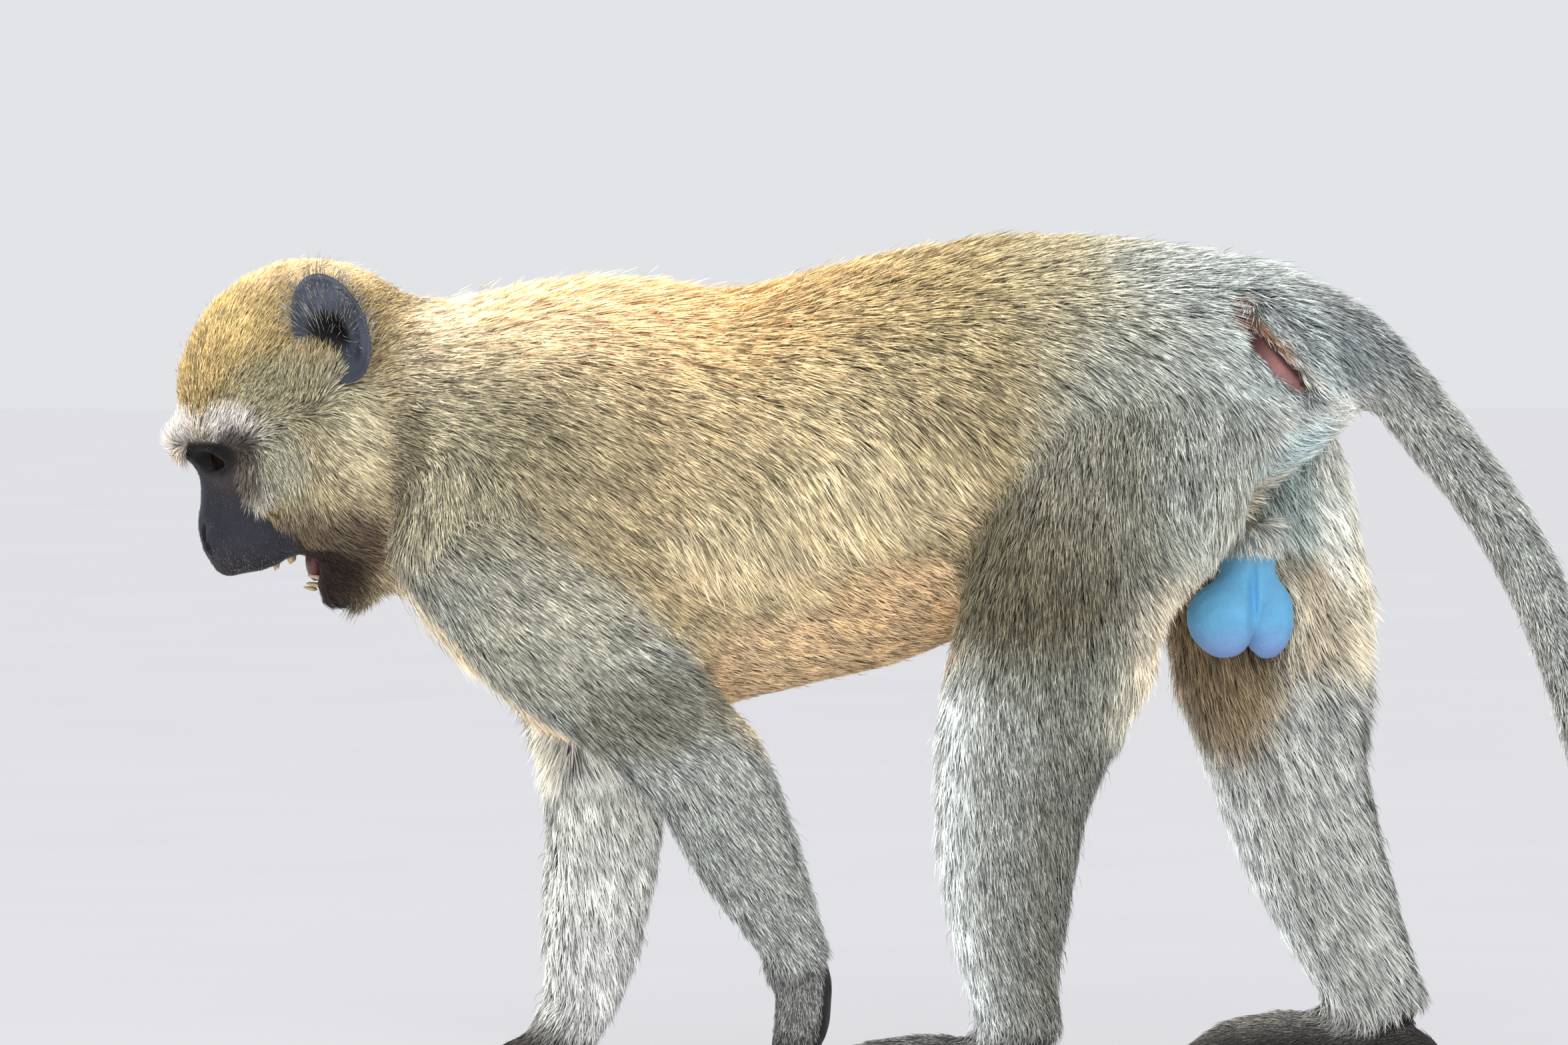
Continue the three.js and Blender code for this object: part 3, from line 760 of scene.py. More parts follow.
@dataclass(frozen=True)
class Ear:
    """An outer ear: a cupped leaf with a rolled rim, a ridge inside it and a pit at its root.

    Attributes:
        at: The middle of the right ear.
        tall: Half its height.
        long: Half its length fore and aft.
        cup: How far its middle lies below its rim.
        flare: How far its rear stands off the head, in radians.
        lean: How far its top tips forward, in radians.
        stem: How far its root reaches into the head.
        rings: How many rings it has from its middle to its rim.
        around: How many corners each ring has.
    """

    at: Triple = (-180.5, 45.5, 311.0)
    tall: float = 24.0
    long: float = 18.0
    cup: float = 7.0
    flare: float = 0.6
    lean: float = -0.45
    stem: float = 9.0
    rings: int = 34
    around: int = 96

    def sheets(self) -> list[Array]:
        """Shapes the hollow side and the back of the ear.

        Returns:
            The corners of each, its middle first and then ring after ring.
        """
        reach = np.linspace(0.0, 1.0, self.rings + 1)[1:]
        angle = np.linspace(0.0, 2.0 * math.pi, self.around, endpoint=False)
        r, turn = np.meshgrid(reach, angle, indexing="ij")
        back, up = np.cos(turn), np.sin(turn)
        point = 1.0 + 0.09 * np.clip(np.cos(turn - 0.9), 0, 1) ** 3 - 0.12 * np.clip(-up, 0, 1)
        rim = np.exp(-((r - 0.93) ** 2) / 0.004) * (0.45 + 0.55 * ramp(back + 0.6 * up, -1.0, 0.6))
        ridge = np.exp(-((r - 0.62 + 0.05 * up) ** 2) / 0.012) * ramp(back, -0.1, 0.7)
        pit = np.exp(-(((r * back + 0.32) / 0.36) ** 2 + ((r * up + 0.18) / 0.42) ** 2))
        flap = np.exp(-(((r * back + 0.78) / 0.2) ** 2 + ((r * up + 0.2) / 0.26) ** 2))
        height = self.cup * (r**2.2 - 1.0) + 1.5 * rim + 1.3 * ridge - 3.6 * pit + 2.2 * flap
        thick = 0.9 + 1.4 * (1.0 - r) + 0.5 * rim
        thick *= np.sqrt(np.clip(1.0 - r**10, 0, 1)) * 0.9 + 0.1
        root = self.stem * np.exp(-((r / 0.42) ** 2))
        sheets = []
        for lift, sunk in ((0.5, 0.0), (-0.5, root)):
            level = height + lift * thick - sunk
            sheet = np.stack([self.long * point * r * back, level, self.tall * point * r * up], -1)
            middle = sheet[0].mean(axis=0, keepdims=True)
            sheets.append(np.concatenate([middle, sheet.reshape(-1, 3)]))
        return sheets

    def surface(self, side: Side) -> Surface:
        """Builds one ear's closed skin.

        Args:
            side: Which ear.

        Returns:
            The skin, in plan millimetres.
        """
        sheets = self.sheets()
        count = len(sheets[0])
        ring, spot = (grid.ravel() for grid in np.indices((self.rings - 1, self.around)))
        after = (spot + 1) % self.around
        a, b = 1 + ring * self.around + spot, 1 + ring * self.around + after
        c, d = a + self.around, b + self.around
        hub = np.arange(self.around)
        fan = np.stack([np.zeros_like(hub), 1 + hub, 1 + (hub + 1) % self.around], 1)
        sheet_faces = np.concatenate([fan, np.stack([a, c, d], 1), np.stack([a, d, b], 1)])
        last = 1 + (self.rings - 1) * self.around
        edge, edge_next = last + hub, last + (hub + 1) % self.around
        under_next = edge_next + count
        hem = [np.stack([edge, edge + count, under_next], 1), np.stack([edge, under_next, edge_next], 1)]
        faces = np.concatenate([sheet_faces[:, ::-1], sheet_faces + count, *hem])
        turn_out = np.array(Matrix.Rotation(self.flare, 3, "Z"))
        tip_forward = np.array(Matrix.Rotation(self.lean, 3, "Y"))
        points = np.concatenate(sheets) @ turn_out.T @ tip_forward.T
        if side is Side.LEFT:
            points[:, 1] *= -1
            faces = faces[:, ::-1]
        return Surface(points + np.array(self.at) * (1, side.value, 1), faces)


@dataclass
class Skin:
    """The whole animal's skin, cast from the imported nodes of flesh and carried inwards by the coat's depth.

    Attributes:
        plan: The body plan.
        voxel: Size of the cells that it is cast with.
        grow: How far the nodes are swollen for the cast, so that neighbours join.
        rounds: How many times the cast is evened.
        socket: The eyes' places and lids.
        ear: The outer ears.
        ear_seat: How far the seat of an ear reaches.
        ear_sink: How much deeper the skin lies under an ear.
        fold: The bare folds beside the tail.
        face: The face's rear, its half-width and its top.
        face_edge: How far past the face the skin is refined.
    """

    plan: BodyPlan
    voxel: float = 2.5
    grow: float = 0.3
    rounds: int = 80
    socket: EyeSocket = field(default_factory=EyeSocket)
    ear: Ear = field(default_factory=Ear)
    ear_seat: Triple = (30, 30, 34)
    ear_sink: float = 3.0
    fold: Fold = field(default_factory=Fold)
    face: Triple = (-196, 27, 278)
    face_edge: float = 10.0

    def flesh_nodes(self) -> list[str]:
        """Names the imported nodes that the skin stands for."""
        return [name for name in self.plan.frame["nodes"] if not name.startswith(("eye", "tongue"))]

    @staticmethod
    def part_of(node: str) -> str:
        """Finds the part of the body that a node belongs to.

        Args:
            node: The node's name.

        Returns:
            The part's name in PELTS, such as hand for hand_left.
        """
        if node.startswith("tail"):
            return "tail"
        return "head" if node.startswith("eye") else node.removesuffix("_left").removesuffix("_right")

    def cast(self) -> tuple[Surface, Array]:
        """Joins the nodes in one closed surface.

        Returns:
            The surface, and the number in PELTS of the part that each corner belongs to.
        """
        points, faces, owners = self.swollen()
        rough = mesh_object("cast", points, faces)
        remesh = rough.modifiers.new("cast", "REMESH")
        remesh.mode = "VOXEL"
        remesh.voxel_size = self.voxel
        done = rough.evaluated_get(bpy.context.evaluated_depsgraph_get()).to_mesh()
        surface = Surface(*read_mesh(done))
        bpy.data.objects.remove(rough, do_unlink=True)
        tree = BVHTree.FromPolygons(points.tolist(), faces.tolist())
        nearest = [tree.find_nearest(point)[2] for point in surface.points.tolist()]
        return self.largest(surface, owners[np.array(nearest)])

    def swollen(self) -> tuple[Array, Array, Array]:
        """Gathers the nodes to cast, each slightly swollen.

        Returns:
            Their points, their triangles and the number in PELTS of the part that each triangle is of.
        """
        parts = list(PELTS)
        points, faces, owners, count = [], [], [], 0
        for name in self.plan.frame["nodes"]:
            if name.startswith(("ear", "tongue")):
                continue
            corners, triangles = self.plan.node_triangles(name)
            _, first, back = np.unique(np.round(corners, 3), axis=0, return_index=True, return_inverse=True)
            node = Surface(corners[first], back.reshape(-1)[triangles])
            points.append(node.points + node.normals() * self.grow)
            faces.append(node.triangles + count)
            owners.append(np.full(len(triangles), parts.index(self.part_of(name))))
            count += len(node.points)
        return np.concatenate(points), np.concatenate(faces), np.concatenate(owners)

    @staticmethod
    def largest(surface: Surface, owners: Array) -> tuple[Surface, Array]:
        """Keeps only the largest connected piece of a surface.

        Args:
            surface: The surface.
            owners: A number for each of its corners.

        Returns:
            The largest piece, and the numbers of its corners.
        """
        label = np.arange(len(surface.points))
        first, second = surface.edges().T
        while True:
            low = np.minimum(label[first], label[second])
            after = label.copy()
            np.minimum.at(after, first, low)
            np.minimum.at(after, second, low)
            after = after[after]
            if (after == label).all():
                break
            label = after
        keep = label == np.bincount(label).argmax()
        number = np.cumsum(keep) - 1
        kept = keep[surface.triangles].all(axis=1)
        return Surface(surface.points[keep], number[surface.triangles[kept]]), owners[keep]

    def build(self) -> None:
        """Shapes the skin and works out what grows where on it."""
        surface, owners = self.cast()
        log.info("cast: %d corners", len(surface.points))
        shares = surface.relaxed(np.eye(len(PELTS))[owners], 24)
        surface, firm, pouch = self.lowered(surface, shares)
        surface, shares = self.finer(surface, shares, firm, pouch)
        surface.points = self.sculpt(surface.points)
        self.surface, self.shares = surface, dict(zip(PELTS, shares.T))
        self.add_ears()
        self.normals = self.surface.normals()
        log.info("skin: %d triangles", len(self.surface.triangles))

    def lowered(self, surface: Surface, shares: Array) -> tuple[Surface, Array, Array]:
        """Evens the cast and carries it inwards by the depth of the coat.

        Args:
            surface: The cast.
            shares: How much each corner belongs to each part in PELTS.

        Returns:
            The surface, how much each corner belongs to a hand or a foot, and how much to the pouch.
        """
        share = dict(zip(PELTS, shares.T))
        firm = np.clip((share["hand"] + share["foot"]) * 1.3, 0, 1)
        front = ramp(surface.points[:, 0], -188, -204) * (share["head"] + share["jaw"])
        pouch = np.clip(share["scrotum"] * 1.2, 0, 1)
        hold = np.maximum.reduce([firm * 0.93, front * 0.86, pouch * 0.88])  # what keeps its shape
        before = surface.points.copy()
        surface.points = surface.relaxed(surface.points, self.rounds, 0.5 * (1.0 - hold))
        normals = surface.normals()
        moved = ((before - surface.points) * normals).sum(axis=1)
        moved = surface.relaxed(moved, 50, 0.5 * (1.0 - 0.8 * hold))
        depth = shares @ np.array([pelt.depth for pelt in PELTS.values()])
        depth *= 1.0 - face_share(surface.points) * share["head"]
        for growth in THIN_HAIR:
            for flip in growth.sides():
                depth += (growth.height - depth) * growth.share(surface.points, flip)
        for side in Side:
            seat = np.array(self.ear.at) * (1, side.value, 1)
            depth += self.ear_sink * bump_at(surface.points, seat, self.ear_seat)
        depth = surface.relaxed(depth, 12)
        surface.points = surface.points + normals * (moved - depth)[:, None]
        surface.points = surface.relaxed(surface.points, 6, 0.4 * (1.0 - hold))
        return surface, firm, pouch

    def finer(self, surface: Surface, shares: Array, firm: Array, pouch: Array) -> tuple[Surface, Array]:
        """Refines the face twice, and the hands, the feet, the pouch and the fold once.

        Args:
            surface: The lowered skin.
            shares: How much each corner belongs to each part in PELTS.
            firm: How much each corner belongs to a hand or a foot.
            pouch: How much each corner belongs to the pouch.

        Returns:
            The finer surface and its shares.
        """
        hand, foot = list(PELTS).index("hand"), list(PELTS).index("foot")
        for step in range(2):
            chosen = self.face_region(surface.points, self.face_edge * (1 - step))
            if step == 0:
                chosen |= (firm > 0.5) | (pouch > 0.3) | (self.fold.weight(surface.points, 3.0) > 0.0)
            both = np.concatenate([surface.points, shares], axis=1)
            grown = Surface(both, surface.triangles).refined(chosen)
            surface, shares = Surface(grown.points[:, :3], grown.triangles), grown.points[:, 3:]
            near = shares[:, hand] + shares[:, foot] > 0.4
            near |= self.face_region(surface.points, self.face_edge)
            surface.points = surface.relaxed(surface.points, 5, 0.45 * near)
        return surface, shares

    def face_region(self, points: Array, more: float) -> Array:
        """Finds the corners in and round the face.

        Args:
            points: The skin's corners.
            more: How far past the face to look.

        Returns:
            True at each corner that lies within that distance of the face.
        """
        x, y, z = points.T
        rear, half, top = self.face
        return (x < rear + more) & (np.abs(y) < half + more) & (z < top + more)

    def sculpt(self, points: Array) -> Array:
        """Works the mouth, the nose, the lids, the digits and the folds beside the tail into the skin.

        Args:
            points: The skin's corners, which are moved in place.

        Returns:
            The moved corners.
        """
        for _ in range(3):  # the hollows overlap, so a corner pushed out of one may lie in the next
            for at, size in MOUTH_HOLLOWS:
                away = (points - at) / size
                deep = np.linalg.norm(away, axis=1)
                inside = (deep < 1.0) & (deep > 1e-3)
                points[inside] = at + away[inside] / deep[inside, None] * size
        for dab in DABS:
            points = dab.pressed(points)
        points = self.fold.pressed(points)
        for digits in DIGIT_ROWS.values():
            points = digits.pressed(points)
        points[:, 2] = np.maximum(points[:, 2], FLOOR_GAP)
        self.lid_edge = np.zeros(len(points))
        for side in Side:
            points, edge = self.socket.shape_lids(points, side)
            self.lid_edge = np.maximum(self.lid_edge, edge)
        return points

    def add_ears(self) -> None:
        """Joins the outer ears to the skin."""
        count = len(self.surface.points)
        for side in Side:
            self.surface = self.surface.joined(self.ear.surface(side))
        extra = len(self.surface.points) - count
        self.shares = {name: np.concatenate([share, np.zeros(extra)]) for name, share in self.shares.items()}
        self.shares["ear"] = np.concatenate([np.zeros(count), np.ones(extra)])
        self.lid_edge = np.concatenate([self.lid_edge, np.zeros(extra)])


def face_share(points: Array) -> Array:
    """Finds the bare face.

    Args:
        points: Points in plan millimetres.

    Returns:
        1 on the face and 0 where the fur has begun.
    """
    edge = np.interp(points[:, 2], list(FACE_EDGE), list(FACE_EDGE.values()))
    brow = np.sqrt(bump_at(points, (-249, 0, 267), (11, 34, 9)))
    return ramp(points[:, 0] - edge, 2, -2) * ramp(points[:, 2], 268.5, 265.0) * ramp(brow, 0.35, 0.05)


# ---- markings, painted light and painted shade
@dataclass(frozen=True)
class Mark(Spot):
    """A soft patch of colour.

    Attributes:
        colour: Its colour, as sRGB from 0 to 255.
        strength: How much of the colour below it covers.
    """

    colour: Triple
    strength: float = 1.0

    def weight(self, points: Array) -> Array:
        """How much of the patch each point takes."""
        total = np.maximum.reduce([np.sqrt(self.soft(points, flip)) for flip in self.sides()])
        return ramp(total, 0.0, 0.75) * self.strength


# Tones of the trunk's coat along x. The back's tones go on the upward-facing coat and are lighter than the
# sides': partly the coat's own colour, partly painted sunlight on the top and painted shade on the sides.
BACK_TONES = {
    -170: (252, 236, 206),
    -95: (252, 226, 184),
    -20: (242, 208, 152),
    60: (198, 178, 132),
    110: (198, 188, 158),
    170: (192, 199, 197),
}
SIDE_TONES = {
    -160: (198, 186, 160),
    -125: (168, 160, 132),
    -60: (206, 188, 150),
    10: (222, 206, 168),
    80: (194, 178, 140),
    118: (196, 197, 184),
    200: (204, 212, 210),
}
BELLY_TONES = {
    -160: (236, 226, 204),
    -60: (234, 212, 178),
    60: (230, 196, 152),
    150: (226, 206, 178),
    210: (216, 214, 206),
}
COAT_MARKS = (
    Mark((-150, 52, 262), (34, 26, 44), (200, 192, 164), 0.6),  # front of the shoulder
    Mark((-172, 0, 224), (20, 60, 26), (206, 188, 152), 0.8),  # throat
    Mark((-20, 52, 232), (48, 34, 24), (222, 208, 174), 0.6),  # fringe of the flank
    Mark((34, 52, 254), (48, 34, 24), (222, 208, 174), 0.6),
    Mark((-6, 24, 172), (52, 62, 38), (232, 206, 166), 0.92),  # bare-looking belly
    Mark((46, 24, 196), (50, 62, 42), (228, 200, 158), 0.92),
    Mark((-96, 58, 196), (46, 30, 34), (196, 192, 172), 0.7),  # side of the upper arm
    Mark((-58, 58, 166), (42, 30, 22), (132, 128, 108), 0.65),  # elbow
    # far upper arm, painted lighter to stand in for light where the near arm shades it
    Mark((-112, 36, 146), (30, 30, 34), (250, 244, 224), 1, one_side=True),
    Mark((-224, 0, 300), (40, 46, 40), (246, 222, 160), 0.9),  # crown
    Mark((-196, 0, 336), (44, 40, 22), (246, 220, 176), 0.9),  # top of the head
    Mark((-200, 40, 276), (40, 26, 30), (192, 184, 152), 0.95),  # temple
    Mark((-190, 42, 252), (34, 26, 34), (200, 186, 152), 0.95),  # cheek
    Mark((-206, 34, 262), (18, 18, 18), (196, 194, 172), 0.8),
    Mark((-176, 44, 280), (16, 20, 34), (230, 220, 190), 0.7),  # ruff behind the cheek
    Mark((-154, 44, 258), (10, 26, 40), (142, 130, 102), 0.6),  # painted shade on the neck behind it
    Mark((-186, 30, 230), (26, 26, 22), (114, 97, 78), 0.9),  # fading towards the jaw
    Mark((-190, 22, 214), (24, 28, 20), (58, 43, 32), 1),  # jaw and corner of the mouth
    Mark((-238, 0, 270), (18, 30, 10), (246, 240, 234), 1),  # brow
    Mark((-224, 28, 272), (18, 16, 10), (232, 226, 218), 1),
    Mark((-221, 27, 263), (10, 9, 8), (84, 76, 70), 0.85),  # outer corner of the eye
    Mark((-213, 28, 248), (10, 12, 14), (196, 192, 178), 0.9),  # cheek whiskers
    Mark((-216, 29, 257), (7, 11, 14), (104, 94, 84), 0.8),  # dark-tipped edge of the face
    Mark((170, 30, 336), (60, 40, 26), (188, 195, 193), 0.6),  # top of the rump
    Mark((226, 0, 314), (36, 40, 30), (150, 156, 157), 0.8),  # root of the tail
    Mark((100, -60, 220), (44, 44, 44), (118, 110, 86), 0.8, one_side=True),  # left thigh
    Mark((124, -62, 250), (34, 34, 44), (156, 152, 134), 0.6, one_side=True),
    Mark((168, -50, 250), (34, 40, 52), (196, 200, 192), 0.7, one_side=True),
    Mark((160, -60, 196), (36, 44, 34), (226, 214, 192), 0.8, one_side=True),
    Mark((204, 30, 252), (22, 36, 36), (176, 202, 208), 0.6),  # blue skin shining through
    Mark((222, 26, 252), (14, 26, 50), (240, 240, 232), 0.9),  # white edge of the seat
    Mark((174, 22, 182), (34, 38, 58), (156, 134, 100), 0.85, one_side=True),  # right thigh: tan on its inner front, partly its own colour and partly painted shade
)


# Marks on the bare skin: the bridge's own tone, painted shade in the ear's pit, the nostrils and round the
# eye, and painted light on the ear's rim.
HIDE_MARKS_AND_PAINTED_LIGHT = (
    Mark((-183, 39, 311), (11, 8, 11), (15, 12, 13), 1),  # painted shade in the pit of the ear
    # more painted shade in the pit and folds of the ear
    Mark((-190, 42, 313), (7, 7, 6), (26, 22, 24), 0.85),
    Mark((-183, 39, 302), (6, 7, 8), (26, 22, 24), 0.85),
    Mark((-173, 50, 303), (5, 9, 6), (40, 36, 40), 0.7),
    Mark((-166, 54, 312), (7, 12, 16), (88, 92, 106), 0.8),  # paler rear rim and top of the ear: painted light on its rim
    Mark((-186, 50, 328), (18, 18, 12), (104, 109, 124), 0.8),
    Mark((-234.6, 7, 228.5), (3.8, 4, 5.4), (9, 7, 8), 1),  # painted shade in the nostril and its slit
    Mark((-233.2, 8.6, 223.6), (3, 3.6, 4.6), (10, 8, 9), 1),
    Mark((-236, 0, 246), (8, 9, 12), (66, 72, 86), 0.6),  # bridge of the nose
    Mark((-230, 17, 263), (19, 20, 11.5), (13, 9, 8), 1),  # painted shade round the eye, under the brow
)


def along(stops: dict[float, Triple], values: Array) -> Array:
    """Blends colours between stops.

    Args:
        stops: Colours by their place.
        values: The places to blend at.

    Returns:
        A colour for each.
    """
    places = np.array(list(stops))
    colours = np.array(list(stops.values()))
    return np.stack([np.interp(values, places, colours[:, k]) for k in range(3)], axis=1)


def blend(below: Array, above: Array | Triple, share: Array) -> Array:
    """Lays one colour over another."""
    return below + (np.asarray(above, float) - below) * share[:, None]


def linear(colour: Array) -> Array:
    """Turns sRGB from 0 to 255 into linear light from 0 to 1."""
    value = np.clip(np.asarray(colour, float) / 255.0, 0, 1)
    return np.where(value <= 0.04045, value / 12.92, ((value + 0.055) / 1.055) ** 2.4)


@dataclass
class Markings:
    """The colours of coat and skin, worked out at the skin's corners.

    Attributes:
        skin: The shaped skin.
    """

    skin: Skin

    def __post_init__(self) -> None:
        """Works out which corners are bare and both colours."""
        self.points, self.normals, self.shares = self.skin.surface.points, self.skin.normals, self.skin.shares
        self.trunk = self.part("neck", "chest", "belly", "rump")
        self.head = self.part("head", "jaw")
        self.limb = self.part("upper_arm", "forearm", "thigh", "shank")
        self.mouth = self.near_mouth(1.12) * self.head
        self.wet = np.clip(np.maximum(self.mouth, self.skin.lid_edge), 0, 1)
        self.bare = self.bareness()
        self.coat, self.ticked = self.coat_colour()
        self.hide = self.skin_colour()

    def part(self, *names: str) -> Array:
        """How much each corner belongs to some parts of the body."""
        return sum(self.shares[name] for name in names)

    def inward(self) -> Array:
        """How far each corner of a limb faces the other side, from 0 to 1."""
        return ramp(-np.sign(self.points[:, 1]) * self.normals[:, 1], 0.1, 0.7)

    def palm(self) -> Array:
        """Finds the palms and the soles.

        Returns:
            How much each corner belongs to them, from 0 to 1.
        """
        down = ramp(-self.normals[:, 2], 0.2, 0.6)
        lifted = ramp(self.normals[:, 0], 0.55, 0.85) + down
        hand = self.shares["hand"] * np.where(self.points[:, 1] < 0, lifted, 0.0)
        flat = self.part("hand", "foot") * down
        heel = self.shares["foot"] * ramp(self.normals[:, 0], 0.4, 0.8) * ramp(self.points[:, 2], 24, 14)
        return np.clip(hand * ramp(self.points[:, 2], 72, 60) + flat + heel, 0, 1)

    def near_mouth(self, reach: float) -> Array:
        """Says which corners lie in the mouth, or within so many times its size."""
        found = [bump_at(self.points, at, np.array(size) * reach) > 0 for at, size in MOUTH_HOLLOWS]
        return np.logical_or.reduce(found).astype(float)

    def bareness(self) -> Array:
        """Works out where no coat grows.

        Returns:
            How bare each corner is, from 0 to 1.
        """
        face = face_share(self.points) * ramp(self.head, 0.3, 0.7)
        lips = ramp(self.points[:, 0], -190, -194) * self.shares["jaw"]
        mouth = self.near_mouth(1.25) * self.head
        pouch = ramp(self.shares["scrotum"], 0.3, 0.6) * ramp(self.points[:, 2], 236, 212)
        bare = np.maximum.reduce([face, mouth, lips, self.palm(), pouch, self.shares["ear"]])
        return np.clip(np.maximum(bare, self.skin.fold.weight(self.points, 1.15)), 0, 1)

    def shin(self) -> Array:
        """How much each corner belongs to the front of a hind leg."""
        front = ramp(-self.normals[:, 0], 0.25, 0.85)
        return (self.shares["shank"] + self.shares["thigh"] * 0.6) * front

    def seat(self) -> Array:
        """How much each corner belongs to the rear of the thighs."""
        rear = ramp(self.normals[:, 0], 0.2, 0.8) * ramp(self.points[:, 2], 290, 240)
        return self.part("thigh", "rump") * rear

    def trunk_colour(self) -> Array:
        """Colours the trunk's coat, from the back down to the belly, with the back's lighter tones on the
        upward-facing coat: partly its own colour and partly painted sunlight.

        Returns:
            The sRGB colour at each corner.
        """
        x, up = self.points[:, 0], self.normals[:, 2]
        body = blend(along(SIDE_TONES, x), along(BACK_TONES, x), ramp(up, 0.1, 0.85))
        return blend(body, along(BELLY_TONES, x), ramp(-up, 0.05, 0.55))

    def inner_colour(self) -> Array:
        """Colours the coat on the inner side of the limbs.

        Returns:
            The sRGB colour at each corner.
        """
        arms = self.part("upper_arm", "forearm")
        inner = blend(np.broadcast_to(INNER_LIMB, self.points.shape), INNER_ARM, np.clip(arms, 0, 1))
        return blend(inner, INNER_THIGH, self.shares["thigh"])

    def coat_layers(self) -> list[tuple[Array | Triple, Array]]:
        """Lists the layers of the coat's colour.

        Returns:
            Colours from the lowest layer to the top one, each with how much it covers.
        """
        x, _, z = self.points.T
        up = self.normals[:, 2]
        calf = self.shares["shank"] * ramp(self.normals[:, 0], -0.4, 0.4) * (1.0 - self.inward())
        on_foot = self.shares["foot"] * ramp(z, 12, 34) * ramp(up, -0.3, 0.5)
        under = self.shares["tail"] * ramp(-self.normals[:, 0] - up, 0.2, 1.0)
        return [
            (EAR_HAIR, self.shares["ear"]),
            (self.trunk_colour(), np.clip(self.trunk, 0, 1)),
            (self.inner_colour(), np.clip(self.limb, 0, 1) * self.inward()),
            (along(SIDE_TONES, x), self.shares["upper_arm"] * ramp(z, 190, 262)),
            (CALF, np.clip(calf, 0, 1)),
            (SHIN, np.clip(self.shin(), 0, 1) * ramp(z, 200, 176) * 0.9),
            (SEAT, np.clip(self.seat(), 0, 1) * 0.9),
            (WRIST, self.shares["forearm"] * ramp(z, 96, 62) * 0.6),
            (BACK_OF_HAND, self.shares["hand"] * ramp(z, 14, 38) * 0.9),
            (BACK_OF_FOOT, on_foot * 0.9),
            (TAIL_TIP, self.shares["tail"] * ramp(x, 330, 560) * 0.7),
            (UNDER_TAIL, np.clip(under, 0, 1) * 0.55),
        ]

    def coat_colour(self) -> tuple[Array, Array]:
        """Works out the coat's colour and its ticking.

        Returns:
            The sRGB colour at each corner, and how strongly its locks are banded.
        """
        colour = sum(self.shares[name][:, None] * np.array(pelt.colour) for name, pelt in PELTS.items())
        for tone, share in self.coat_layers():
            colour = blend(colour, tone, share)
        head = ramp(self.head + self.shares["neck"], 0.2, 0.7)
        for mark in COAT_MARKS:
            on_head = mark.at[0] < -160.0
            colour = blend(colour, mark.colour, mark.weight(self.points) * (head if on_head else 1.0))
        belly = self.trunk * ramp(-self.normals[:, 2], 0.05, 0.55)
        plain = np.maximum.reduce([self.limb * self.inward(), self.shin(), self.seat(), belly])
        ticked = 1.0 - np.clip(plain, 0, 1)
        ticked += 0.8 * bump_at(self.points, (-230, 0, 292), (34, 46, 34))  # crown
        ticked *= 0.3 + 0.7 * ramp(colour.mean(axis=1), 240, 180)
        share, across = self.skin.fold.measured(self.points)
        upper = np.maximum(ramp(share, 0.2, -0.1), ramp(across, 3, 6) * ramp(share, 0.9, 0.4))
        return blend(colour, RUST, self.skin.fold.weight(self.points, 1.9) * upper), ticked

    def skin_colour(self) -> Array:
        """Colours the skin, and the down where it is furred.

        Returns:
            The sRGB colour at each corner.
        """
        _, y, z = self.points.T
        # the down under the fur: half the coat's colour, partly its own darker tone and partly painted shade
        # under the locks
        under = self.coat * 0.5 + np.array((26, 22, 20))
        bare = np.broadcast_to(np.array(SLATE), self.points.shape)
        for tone, share in (
            (EYE_REGION, ramp(z, 236, 252) * ramp(np.abs(y), 6, 16) * 0.7),
            (CHIN, ramp(z, 226, 214) * 0.8),
            (LIP, self.skin.lid_edge * 0.6),
            (GAPE, self.mouth),
            (PALM, np.clip(self.part("hand", "foot"), 0, 1)),
            (EAR_SKIN, self.shares["ear"]),
        ):
            bare = blend(bare, tone, share)
        low = blend(np.broadcast_to(np.array(BLUE), self.points.shape), LILAC, ramp(z, 196, 180) * 0.8)
        bare = np.where(self.shares["scrotum"][:, None] > 0.3, low, bare)
        share, across = self.skin.fold.measured(self.points)
        bare = blend(bare, PINK, self.skin.fold.weight(self.points, 2.5))
        # painted shade at the fold's upper end and under its raised edge on the tail's side
        inside = np.maximum(ramp(share, 0.8, 0.3), ramp(across, 0.0, 2.4))
        bare = blend(bare, FOLD_SHADE, self.skin.fold.weight(self.points, 1.7) * inside * 0.9)
        for mark in HIDE_MARKS_AND_PAINTED_LIGHT:
            bare = blend(bare, mark.colour, mark.weight(self.points))
        return blend(under, bare, self.bare)


# ---- coat
@dataclass(frozen=True)
class Growth(Spot):
    """A place where the hair is longer or shorter or lies another way.

    Attributes:
        length: Length of its locks.
        height: How far their tips stand off the skin.
        flow: The way they lie on the right side.
    """

    length: float
    height: float
    flow: Triple

    def share(self, points: Array, flip: Array) -> Array:
        """How much of its hair grows at each point, on one side."""
        return ramp(np.sqrt(self.soft(points, flip)), 0.0, 0.7)


